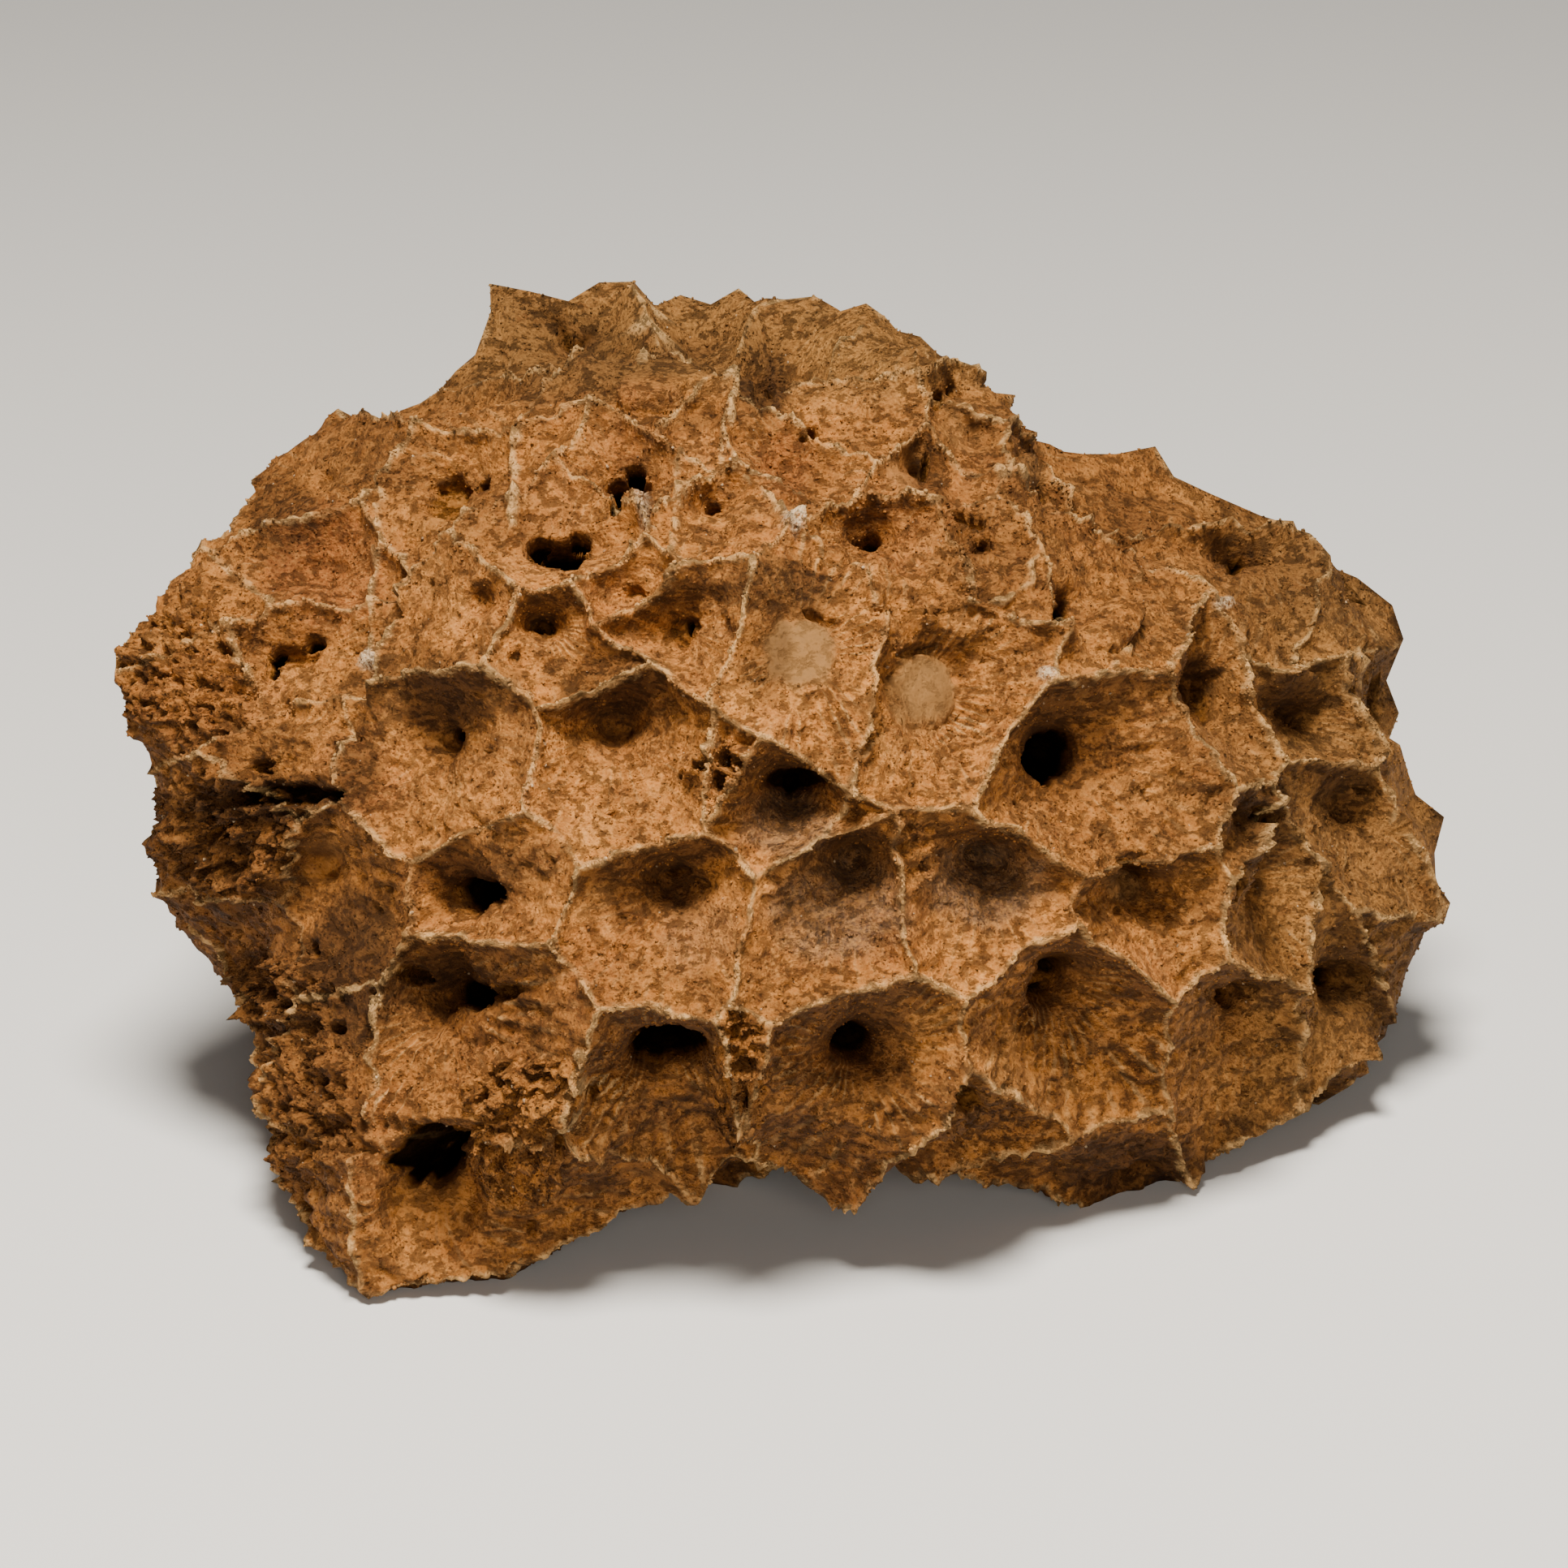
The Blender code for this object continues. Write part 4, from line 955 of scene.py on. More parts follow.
# one cup: its own flat map of directions, centred on its shaft, with x and y in mm
class Cup:
    def __init__(self, envelope, cup, ring, corners, radii):
        self.name, _, _, pit, pitRadius, self.bowl, self.shaft = cup
        ringDirections = corners[ring]
        # the shaft's place is settled against corners and wall middles, as the solid's is
        middles = unit(ringDirections + np.roll(ringDirections, -1, axis=0))
        both = np.empty((2 * len(ring), 3))
        both[0::2] = ringDirections
        both[1::2] = middles
        self.pit = settlePit(pit, both)
        self.localRadius = float(envelope.radius(self.pit)[0])
        room = nearestWall(self.pit, both)
        self.pitRadius = min(pitRadius, lump["shaftWidest"] * room * self.localRadius) / mm
        right, up, _ = viewAxes()
        across = right - self.pit * (right @ self.pit)
        if np.linalg.norm(across) < 0.3:
            across = up - self.pit * (up @ self.pit)
        self.across = unit(across)
        self.along = np.cross(self.pit, self.across)
        self.ring = self.flatMap(ringDirections)
        ends = radii[ring] - envelope.radius(ringDirections)
        wallEnds = 0.5 * (radii[ring] + np.roll(radii[ring], -1))
        middleRadii = envelope.radius(middles)
        ownRadii = lump["wallOwnShare"] * (middleRadii + lump["crestHeight"])
        wallRadii = ownRadii + (1.0 - lump["wallOwnShare"]) * wallEnds - lump["wallSag"]
        self.cornerRise = ends / mm
        self.middleRise = (wallRadii - middleRadii) / mm
        self.middle = unit(ringDirections.mean(axis=0))
        self.reach = float((ringDirections @ self.middle).min())

    # places on the flat map, in mm
    def flatMap(self, directions):
        facing = np.maximum(directions @ self.pit, 0.2)
        flat = np.stack((directions @ self.across, directions @ self.along), axis=-1)
        return flat / facing[..., None] * (self.localRadius / mm)

    # signed distance to the walls, and the walls' rise over the lump there
    def walls(self, flat):
        following = np.roll(self.ring, -1, axis=0)
        risesAfter = np.roll(self.cornerRise, -1)
        inside = np.zeros(len(flat), bool)
        nearness = np.zeros(len(flat))
        nearest = np.full(len(flat), 1e9)
        weights = np.zeros(len(flat))
        rises = np.zeros(len(flat))
        for a, b, riseA, riseB, riseMiddle in zip(self.ring, following, self.cornerRise, risesAfter,
                                                  self.middleRise):
            wall = b - a
            share = np.clip((flat - a) @ wall / (wall @ wall), 0.0, 1.0)
            distance = np.linalg.norm(flat - a - share[:, None] * wall, axis=1)
            end = np.where(share < 0.5, riseA, riseB)
            rise = riseMiddle + (end - riseMiddle) * np.abs(2.0 * share - 1.0) ** lump["wallCurve"]
            weight = 1.0 / (distance ** 2 + lump["wallNearness"])
            weights += weight
            rises += weight * rise
            nearness += 1.0 / (distance + 1e-6) ** lump["wallRounding"]
            nearest = np.minimum(nearest, distance)
            crosses = (a[1] > flat[:, 1]) != (b[1] > flat[:, 1])
            rate = (flat[:, 1] - a[1]) / np.where(abs(b[1] - a[1]) < 1e-12, 1e-12, b[1] - a[1])
            inside ^= crosses & (flat[:, 0] < a[0] + rate * (b[0] - a[0]))
        soft = nearness ** (-1.0 / lump["wallRounding"])
        return np.where(inside, soft, -nearest), rises / weights


# whole numbers mixed to a fixed scatter, for the noises
def scatter(i, j, k, seed):
    h = (i * 73856093) ^ (j * 19349663) ^ (k * 83492791) ^ (seed * 26544357)
    h = (h ^ (h >> 15)) * 1274126177 & 0xFFFFFFFF
    h = (h ^ (h >> 13)) * 668265263 & 0xFFFFFFFF
    return (h ^ (h >> 16)) & (scatterSize - 1)


scatterSize = 1024             # a power of two
noiseTable = unit(np.random.RandomState(11).normal(size=(scatterSize, 3)))
spotTable = np.random.RandomState(12).uniform(0.1, 0.9, size=(scatterSize, 3))


# smooth noise from about -1 to 1, with features of a size in mm
def softNoise(places, size, seed):
    p = places / size
    whole = np.floor(p).astype(np.int64)
    part = p - whole
    ease = part * part * part * (part * (part * 6.0 - 15.0) + 10.0)
    total = np.zeros(len(places))
    for dx in (0, 1):
        for dy in (0, 1):
            for dz in (0, 1):
                gradient = noiseTable[scatter(whole[:, 0] + dx, whole[:, 1] + dy, whole[:, 2] + dz, seed)]
                reach = part - (dx, dy, dz)
                weight = ((ease[:, 0] if dx else 1.0 - ease[:, 0]) * (ease[:, 1] if dy else 1.0 - ease[:, 1])
                          * (ease[:, 2] if dz else 1.0 - ease[:, 2]))
                total += weight * (gradient * reach).sum(axis=1)
    return total * 1.6


# distance to the nearest of many scattered spots, as a share of their spacing
def spotNoise(places, size, seed):
    p = places / size
    whole = np.floor(p).astype(np.int64)
    part = p - whole
    nearest = np.full(len(places), 9.0)
    for dx in (-1, 0, 1):
        for dy in (-1, 0, 1):
            for dz in (-1, 0, 1):
                spot = spotTable[scatter(whole[:, 0] + dx, whole[:, 1] + dy, whole[:, 2] + dz, seed)]
                nearest = np.minimum(nearest, ((spot + (dx, dy, dz) - part) ** 2).sum(axis=1))
    return np.sqrt(nearest)


def smoothStep(low, high, value):
    t = np.clip((value - low) / (high - low), 0.0, 1.0)
    return t * t * (3.0 - 2.0 * t)


# how far out a pixel is from the middle of a turned ellipse, 1 on its edge
def ellipse(xPx, yPx, x, y, halfWidth, halfHeight, turn=0.0):
    c, s = math.cos(math.radians(turn)), math.sin(math.radians(turn))
    u = ((xPx - x) * c + (yPx - y) * s) / halfWidth
    v = ((yPx - y) * c - (xPx - x) * s) / halfHeight
    return np.sqrt(u * u + v * v)


def distanceToLine(xPx, yPx, places):
    nearest = np.full(len(xPx), 1e9)
    p = np.stack((xPx, yPx), axis=1)
    for a, b in zip(np.array(places[:-1], float), np.array(places[1:], float)):
        share = np.clip((p - a) @ (b - a) / ((b - a) @ (b - a)), 0.0, 1.0)
        nearest = np.minimum(nearest, np.linalg.norm(p - a - share[:, None] * (b - a), axis=1))
    return nearest


# the shape of the surface, in mm
relief = {
    "bowlCurve": 0.78,         # below 1, a cup is steep at its wall and easy near its shaft
    "riseCurve": 1.2,          # how fast a wall's rise over the lump fades into its cup
    "wallHalfWidth": 0.10,
    "edgeStray": ((1.3, 0.22), (0.5, 0.10)),  # of holes, dishes and tints: size, and share of their width
    "flatness": (1.0, 1.0, 1.5),  # lumps and tears are wider than they are high
    "wallWander": ((4.6, 0.55), (1.7, 0.26), (0.7, 0.10)),  # size and reach
    "lumps": ((5.2, 0.45), (2.4, 0.34), (1.25, 0.26), (0.62, 0.17)),  # size and height
    "crestTeeth": ((3.0, 0.40), (1.2, 0.20), (0.5, 0.09)),
    "bladeHeight": 0.68,       # of the thin crest on top of each wall
    "bladeWidth": 0.20,
    "crestReach": 0.9,
    "chipSize": 3.6,
    "chipDepth": 0.9,
    "chipEdge": (0.22, 0.62),
    "bladeWear": (0.55, ((1.6, 0.9, 61), (0.6, 0.5, 62)), (0.0, 1.1)),
    "bladeSpongyLoss": 0.8,
    "wornDepth": 1.5,          # of the crests where they are worn away
    "wornReach": 1.3,
    "wornLoss": 0.7,
    "poreSpacing": 1.25,
    "poreDepth": 0.95,
    "poreEdge": (0.16, 0.46),  # as shares of the spacing
    "finePoreSpacing": 0.66,
    "finePoreDepth": 0.26,
    "finePoreEdge": (0.12, 0.4),
    "poreStray": (0.9, 0.45),  # of the pores from their even spread: size and reach
    "porePatches": (2.6, (0.10, 0.45)),  # size and edge
    "patchPores": 0.45,
    "finePoreShares": (0.15, 0.85, 0.7),  # everywhere, more where spongy, and how much a patch counts
    "hiddenSpongy": (7.0, (0.28, 0.6), 0.8),  # in the unseen cups: size, edge and strength
    "spongyGain": 1.3,         # of the lumps
    "smoothLoss": 0.8,
    "smoothPoreLoss": 0.9,
    "tears": ((1.9, 0.70), (0.95, 0.45)),  # size and height of the sharp creases
    "tearLevel": 0.35,
    "tearDeepest": -0.5,
    "tearGain": (2.0, -0.2),   # where spongy, and elsewhere
    "dishTop": 0.80,           # a dish is deeper at its upper edge than at its lower one
    "dishSlope": 0.42,
    "dishSlopeLimits": (0.25, 1.3),
    "dishStray": (0.5, 1.3),   # less for a dish with a sharper edge
    "dishEdge": (1.2, 0.12),
    "dishCalm": 0.35,          # how much a dish smooths the lumps in it
    "domeStray": 0.4,
    "holeEdge": (0.78, 1.12),  # of a small hole, as shares of its half width
    "tintEdge": (0.65, 1.15),
    "ringHalfWidth": 8.0,      # in px
    "ringStray": 0.5,
    "shaftMouth": 0.42,        # how far in a shaft has its full depth, as a share of its radius
    "septa": 40,
    "septaHeight": 0.18,
    "septaFromWall": (0.25, 0.8),
    "septaFromShaft": (2.2, 4.0),
    "septaBend": (2.5, 2.0),   # size and reach
    "septaWear": (0.35, ((3.4, 1.1, 90), (1.4, 0.6, 92)), (0.0, 1.2)),
    "septaTintFromWall": (0.2, 0.7),
    "septaTintFromShaft": (0.9, 2.2),
    "dishShade": 0.4,          # how much a dish and a shaft count as deep, for the painted shade in them
    "shaftShade": 0.6,
    "lineWander": (1.5, 7.0),  # of the inner ridges' places: size in mm, and reach in px
    "lineWear": (0.65, ((1.1, 0.9, 44),), (0.15, 1.2)),
    "findMargin": 0.012,       # how far past its furthest corner a cup is looked for, as a cosine
}

# each noise's own number in the scatter
seeds = {
    "wallWander": 20,
    "edgeStray": 40,
    "lineAcross": 42,
    "lineUp": 43,
    "crestTeeth": 50,
    "chips": 60,
    "crestCrumbs": 63,
    "faceCrumbs": 64,
    "lumps": 70,
    "hiddenSpongy": 80,
    "porePatches": 81,
    "pores": 82,
    "finePores": 83,
    "poreStray": 84,
    "septa": 91,
    "tears": 94,
}


# how whole a feature is: a middle, noises of a size, reach and seed around it, and limits
def wear(places, middle, noises, limits):
    for size, reach, seed in noises:
        middle = middle + reach * softNoise(places, size, seed)
    return np.clip(middle, *limits)


# what the surface is like in every direction: its radius, and what its finish follows
class Colony:
    def __init__(self):
        self.envelope = Envelope()
        allCups = collectCups(self.envelope)
        corners, cells = wallNetwork(self.envelope, allCups)
        corners, radii, taken = placeCorners(self.envelope, corners)
        cells = mergeCorners(corners, radii, taken, cells)
        self.cups = [Cup(self.envelope, cup, ring, corners, radii) for cup, ring in cells]
        self.named = np.array([cup.name in cups for cup in self.cups])
        # the solid is centred on its crests, and so is everything here
        crests = innerPoint() + corners * radii[:, None]
        crests = crests[crests[:, 2] > 0.0]
        self.shift = 0.5 * (crests.min(axis=0) + crests.max(axis=0)) * (1.0, 1.0, 0.0)
        self.centre = innerPoint() - self.shift
        usual = septaStrength["usual"]
        self.septa = np.array([septaStrength.get(cup.name, usual) for cup in self.cups])

    # which cup each direction is in, with its place on that cup's flat map
    def findCups(self, directions):
        count = len(directions)
        best = np.full(count, -1e9)
        which = np.zeros(count, int)
        flat = np.zeros((count, 2))
        rise = np.zeros(count)
        for i, cup in enumerate(self.cups):
            near = np.nonzero(directions @ cup.middle > cup.reach - relief["findMargin"])[0]
            if len(near) == 0:
                continue
            places = cup.flatMap(directions[near])
            distance, wallRise = cup.walls(places)
            better = distance > best[near]
            chosen = near[better]
            best[chosen] = distance[better]
            which[chosen] = i
            flat[chosen] = places[better]
            rise[chosen] = wallRise[better]
        return which, flat, np.maximum(best, 0.0), rise

    def of(self, name, which):
        return np.array([getattr(cup, name) for cup in self.cups])[which]

    def surface(self, directions):
        parts = np.array_split(directions, max(1, len(directions) // 60000))
        done = [self.surfacePart(part) for part in parts]
        return {key: np.concatenate([part[key] for part in done]) for key in done[0]}

    def surfacePart(self, directions):
        out = {}
        base = self.envelope.radius(directions) / mm
        places = directions * base[:, None]
        wander = np.zeros_like(places)
        for i, (size, reach) in enumerate(relief["wallWander"]):
            for axis in range(3):
                wander[:, axis] += reach * softNoise(places, size, seeds["wallWander"] + 3 * i + axis)
        which, flat, wall, rise = self.findCups(unit(places + wander))
        named = self.named[which]

        # bowl and shaft
        bowl = self.of("bowl", which) / mm
        shaft = self.of("shaft", which) / mm
        pitRadius = self.of("pitRadius", which)
        fromPit = np.linalg.norm(flat, axis=1)
        past = np.maximum(fromPit - pitRadius, 0.0)
        inner = np.maximum(wall - relief["wallHalfWidth"], 0.0)
        t = inner / (inner + past + 1e-6)
        sunk = bowl * t ** relief["bowlCurve"]
        mouth = np.clip(1.0 - fromPit / pitRadius, 0.0, 1.0)
        shaftDepth = shaft * smoothStep(0.0, relief["shaftMouth"], mouth)
        sunk += shaftDepth
        normal = self.envelope.normal(directions)
        wayOut = self.envelope.wayOut(normal)
        risen = base + rise * (1.0 - t) ** relief["riseCurve"]
        points = directions * risen[:, None] - wayOut * sunk[:, None]

        # places that the photograph gives
        xPx, yPx = photoPixels(innerPoint() + points * mm)
        rough = sum(reach * softNoise(places, size, seeds["edgeStray"] + i)
                    for i, (size, reach) in enumerate(relief["edgeStray"]))
        tints = {kind: np.zeros(len(base)) for kind in areas}
        for kind, spots in areas.items():
            for x, y, halfWidth, halfHeight, strength in spots.values():
                away = ellipse(xPx, yPx, x, y, halfWidth, halfHeight) + rough
                share = 1.0 - smoothStep(*relief["tintEdge"], away)
                tints[kind] = np.maximum(tints[kind], strength * share * named)
        dish = np.zeros(len(base))
        for x, y, halfWidth, halfHeight, depth, edge in dishes.values():
            stray = relief["dishStray"][0] * rough * (relief["dishStray"][1] - edge)
            away = ellipse(xPx, yPx, x, y, halfWidth, halfHeight) + stray
            slope = relief["dishTop"] - relief["dishSlope"] * (yPx - y) / halfHeight
            slope = np.clip(slope, *relief["dishSlopeLimits"])
            share = 1.0 - smoothStep(edge, relief["dishEdge"][0] - relief["dishEdge"][1] * edge, away)
            dish = np.maximum(dish, depth * slope * share * named)
        raised = np.zeros(len(base))
        for x, y, halfWidth, halfHeight, turn, height in domes.values():
            away = ellipse(xPx, yPx, x, y, halfWidth, halfHeight, turn) + relief["domeStray"] * rough
            raised = np.maximum(raised, height * np.sqrt(np.clip(1.0 - away ** 2, 0.0, 1.0)) * named)
        for x, y, ring, height in rings.values():
            away = np.hypot(xPx - x, yPx - y) * (1.0 + relief["ringStray"] * rough) - ring
            raised = np.maximum(raised, height * np.exp(-(away / relief["ringHalfWidth"]) ** 2) * named)
        line = np.zeros(len(base))
        size, reach = relief["lineWander"]
        strayX = xPx + reach * softNoise(places, size, seeds["lineAcross"])
        strayY = yPx + reach * softNoise(places, size, seeds["lineUp"])
        worn = wear(places, *relief["lineWear"])
        for height, halfWidth, path in ridges.values():
            away = distanceToLine(strayX, strayY, path) / halfWidth
            line = np.maximum(line, height * worn * np.clip(1.0 - away, 0.0, 1.0) * named)
        raised = np.maximum(raised, line)
        hole = np.zeros(len(base))
        for x, y, halfWidth, halfHeight, turn, depth in smallHoles.values():
            away = ellipse(xPx, yPx, x, y, halfWidth, halfHeight, turn) + rough
            hole = np.maximum(hole, depth * (1.0 - smoothStep(*relief["holeEdge"], away)) * named)

        # teeth and chips of the crests
        nearCrest = np.exp(-wall / relief["crestReach"])
        teeth = sum(height * softNoise(places, size, seeds["crestTeeth"] + i)
                    for i, (size, height) in enumerate(relief["crestTeeth"]))
        chip = smoothStep(*relief["chipEdge"], softNoise(places, relief["chipSize"], seeds["chips"]))
        crest = nearCrest * (teeth - relief["chipDepth"] * chip)
        whole = wear(places, *relief["bladeWear"])
        unspongy = 1.0 - relief["bladeSpongyLoss"] * tints["spongy"]
        blade = relief["bladeHeight"] * whole * (1.0 - chip) * unspongy
        crest += blade * np.exp(-(wall / relief["bladeWidth"]) ** 2)
        wornDown = relief["wornDepth"] * tints["worn"] * np.exp(-(wall / relief["wornReach"]) ** 2)
        crest = crest * (1.0 - relief["wornLoss"] * tints["worn"]) - wornDown

        # wear, lumps and pores of the faces
        flattened = places * relief["flatness"]
        lumps = sum(height * softNoise(flattened, size, seeds["lumps"] + i)
                    for i, (size, height) in enumerate(relief["lumps"]))
        size, edge, strength = relief["hiddenSpongy"]
        hidden = strength * smoothStep(*edge, softNoise(places, size, seeds["hiddenSpongy"])) * ~named
        spongy = np.maximum(tints["spongy"], hidden)
        roughness = (1.0 + relief["spongyGain"] * spongy) * (1.0 - relief["smoothLoss"] * tints["smooth"])
        size, reach = relief["poreStray"]
        stray = np.column_stack([softNoise(places, size, seeds["poreStray"] + axis) for axis in range(3)])
        stray = stray * reach
        size, edge = relief["porePatches"]
        patchy = smoothStep(*edge, softNoise(places, size, seeds["porePatches"]))
        poreArea = np.clip(spongy + relief["patchPores"] * patchy, 0.0, 1.0)
        fromPore = spotNoise(places + wander + stray, relief["poreSpacing"], seeds["pores"])
        fromFinePore = spotNoise(places + stray, relief["finePoreSpacing"], seeds["finePores"])
        pores = poreArea * (1.0 - smoothStep(*relief["poreEdge"], fromPore))
        finePores = 1.0 - smoothStep(*relief["finePoreEdge"], fromFinePore)
        holes = relief["poreDepth"] * pores
        least, more, inPatches = relief["finePoreShares"]
        fineArea = least + more * np.maximum(spongy, inPatches * patchy)
        holes += relief["finePoreDepth"] * finePores * fineArea
        holes *= 1.0 - relief["smoothPoreLoss"] * tints["smooth"]
        tears = 0.0
        for i, (size, height) in enumerate(relief["tears"]):
            crease = np.abs(softNoise(flattened + stray, size, seeds["tears"] + i))
            crease = (relief["tearLevel"] - crease).clip(relief["tearDeepest"], relief["tearLevel"])
            tears = tears + height * crease
        lumps = lumps + tears * (relief["tearGain"][0] * spongy + relief["tearGain"][1])

        # septa, blades that run down the bowl towards the shaft
        angle = np.arctan2(flat[:, 1], flat[:, 0])
        strength = self.septa[which] * (1.0 - tints["spongy"]) * (1.0 - tints["smooth"])
        strength = strength * wear(places, *relief["septaWear"])
        size, reach = relief["septaBend"]
        septum = np.cos(relief["septa"] * angle + reach * softNoise(places, size, seeds["septa"]))
        septaArea = smoothStep(*relief["septaFromWall"], wall)
        septaArea = septaArea * smoothStep(*relief["septaFromShaft"], fromPit)
        septa = relief["septaHeight"] * strength * septaArea * septum * (1.0 - tints["smooth"])

        calm = 1.0 - relief["dishCalm"] * np.clip(dish, 0.0, 1.0) * (1.0 - spongy)
        height = crest + calm * (roughness * lumps - holes) + septa + raised
        points = (points + normal * height[:, None] - wayOut * (hole + dish)[:, None]) * mm

        # the flat cut underneath, and the box of the solid, bound it
        far = np.linalg.norm(points, axis=1)
        ways = points / far[:, None]
        out.update(tints)
        out["spongy"] = spongy
        out["place"] = self.centre + ways * np.minimum(far, self.boxLimit(ways))[:, None]
        out["wall"] = wall
        # sunk and hole carry the depths that the painted shade and the painted shadow in the holes follow
        out["sunk"] = sunk + hole + relief["dishShade"] * dish
        out["hole"] = hole + relief["shaftShade"] * shaftDepth
        out["line"] = line
        septaTint = strength * smoothStep(*relief["septaTintFromWall"], wall)
        out["septa"] = septaTint * smoothStep(*relief["septaTintFromShaft"], fromPit)
        out["xPx"] = xPx
        out["yPx"] = yPx
        out["which"] = which
        return out

    # how far each direction goes before it leaves the solid's box
    def boxLimit(self, directions):
        low = np.array(cadBox[0]) - self.centre
        high = np.array(cadBox[1]) - self.centre
        steep = np.where(np.abs(directions) < 1e-9, 1e-9, directions)
        return np.where(steep > 0.0, high / steep, low / steep).min(axis=1)


coral = {
    "divisions": 9,            # of the sphere of directions
    "triangles": 192000,
    "seenThinning": 0.75,      # how readily the seen side is thinned, where the unseen side is 1
    "cutHeight": 0.00002,      # in metres, below which the stone is the flat cut
    "dullFrom": (1380, 1640),  # in px, where the painted shade of the right side starts
    "dullAbove": (530, 440),   # and its top
    "dullRight": 0.9,
    "seenFacing": (-0.35, 0.1),
    "thinningSteps": 40,
    "hollowSpreads": 2,
    "cupMapScale": 0.01,
}


def deselectAll():
    bpy.ops.object.select_all(action="DESELECT")


# a sphere of directions, pushed out to the colony's surface and thinned where it is plain
def makeCoral(colony):
    deselectAll()
    divisions = coral["divisions"] - 0
    bpy.ops.mesh.primitive_ico_sphere_add(subdivisions=divisions, radius=1.0, location=(0.0, 0.0, 0.0))
    piece = bpy.context.object
    piece.name = "fossilCoral"
    piece.data.name = "fossilCoral"
    mesh = piece.data
    directions = unit(readRows(mesh.vertices, "co", 3))
    look = colony.surface(directions)
    mesh.vertices.foreach_set("co", look["place"].ravel())
    keep = mesh.attributes.new("startWay", "FLOAT_VECTOR", "POINT")
    keep.data.foreach_set("vector", directions.astype(np.float32).ravel())
    mesh.update()
    print("stage: surface shaped,", len(directions), "points")

    toward = viewAxes()[2]
    weights = 1.0 - (1.0 - coral["seenThinning"]) * smoothStep(*coral["seenFacing"], directions @ toward)
    group = piece.vertex_groups.new(name="thinning")
    steps = (weights * coral["thinningSteps"]).round().astype(int)
    for step in np.unique(steps):
        group.add(np.nonzero(steps == step)[0].tolist(), step / coral["thinningSteps"], "REPLACE")
    thin = piece.modifiers.new("thin", "DECIMATE")
    thin.ratio = coral["triangles"] / len(mesh.polygons)
    thin.vertex_group = group.name
    thin.vertex_group_factor = 1.0
    bpy.context.view_layer.objects.active = piece
    bpy.ops.object.modifier_apply(modifier=thin.name)
    piece.vertex_groups.clear()

    # thinning may carry a point a hair out of the solid's box
    for vertex in piece.data.vertices:
        vertex.co = [min(max(c, low), high) for c, low, high in zip(vertex.co, *cadBox)]
    print("stage: thinned to", len(piece.data.polygons), "faces")
    return piece


# values read from a mesh's points, edges or faces, a row for each
def readRows(items, name, width, kind=float):
    values = np.empty(len(items) * width, kind)
    items.foreach_get(name, values)
    return values.reshape(-1, width)


def layMarks(mesh, marks):
    for name, values in marks.items():
        mark = mesh.attributes.new(name, "FLOAT", "POINT")
        mark.data.foreach_set("value", values.astype(np.float32))


# what the stone's finish follows, kept on the piece's points and faces
def markCoral(piece, colony):
    mesh = piece.data
    count = len(mesh.vertices)
    spots = readRows(mesh.vertices, "co", 3)
    startWay = unit(readRows(mesh.attributes["startWay"].data, "vector", 3))
    look = colony.surface(startWay)
    miss = np.linalg.norm(look["place"] - spots, axis=1) / mm
    print("stage: marks miss their points by", np.percentile(miss, (50, 90, 99)).round(2), "mm")

    edges = readRows(mesh.edges, "vertices", 2, int)
    normals = readRows(mesh.vertex_normals, "vector", 3)
    hollow = neighbourBend(spots, normals, edges)
    for _ in range(coral["hollowSpreads"]):
        hollow = spread(hollow, edges, count)

    cut = spots[:, 2] < coral["cutHeight"]
    marks = {name: look[name] for name in ("wall", "sunk", "line", *areas)}
    marks["dark"] = look["hole"]
    marks["hollow"] = hollow
    marks["septa"] = look["septa"] * ~cut
    # painted shade over the far right side and the top
    farRight = smoothStep(*coral["dullFrom"], look["xPx"])
    farUp = smoothStep(*coral["dullAbove"], look["yPx"])
    marks["farShade"] = np.maximum(farRight * coral["dullRight"], farUp)
    layMarks(mesh, marks)

    # each face's own cup gives its corners' places round the shaft, in mm
    faces = readRows(mesh.polygons, "vertices", 3, int)
    which = colony.surface(unit(startWay[faces].mean(axis=1)))["which"]
    around = np.empty((len(faces), 3, 2))
    for i, cup in enumerate(colony.cups):
        mine = np.nonzero(which == i)[0]
        if len(mine):
            around[mine] = cup.flatMap(startWay[faces[mine]])
    cupMap = mesh.uv_layers.new(name="cupMap")
    cupMap.data.foreach_set("uv", (around * coral["cupMapScale"]).astype(np.float32).ravel())
    mesh.polygons.foreach_set("use_smooth", np.ones(len(faces), bool))
    mesh.attributes.remove(mesh.attributes["startWay"])
    mesh.update()
    print("stage: marks laid")
    return {"spots": spots, "normals": normals, "faces": faces, "marks": marks}


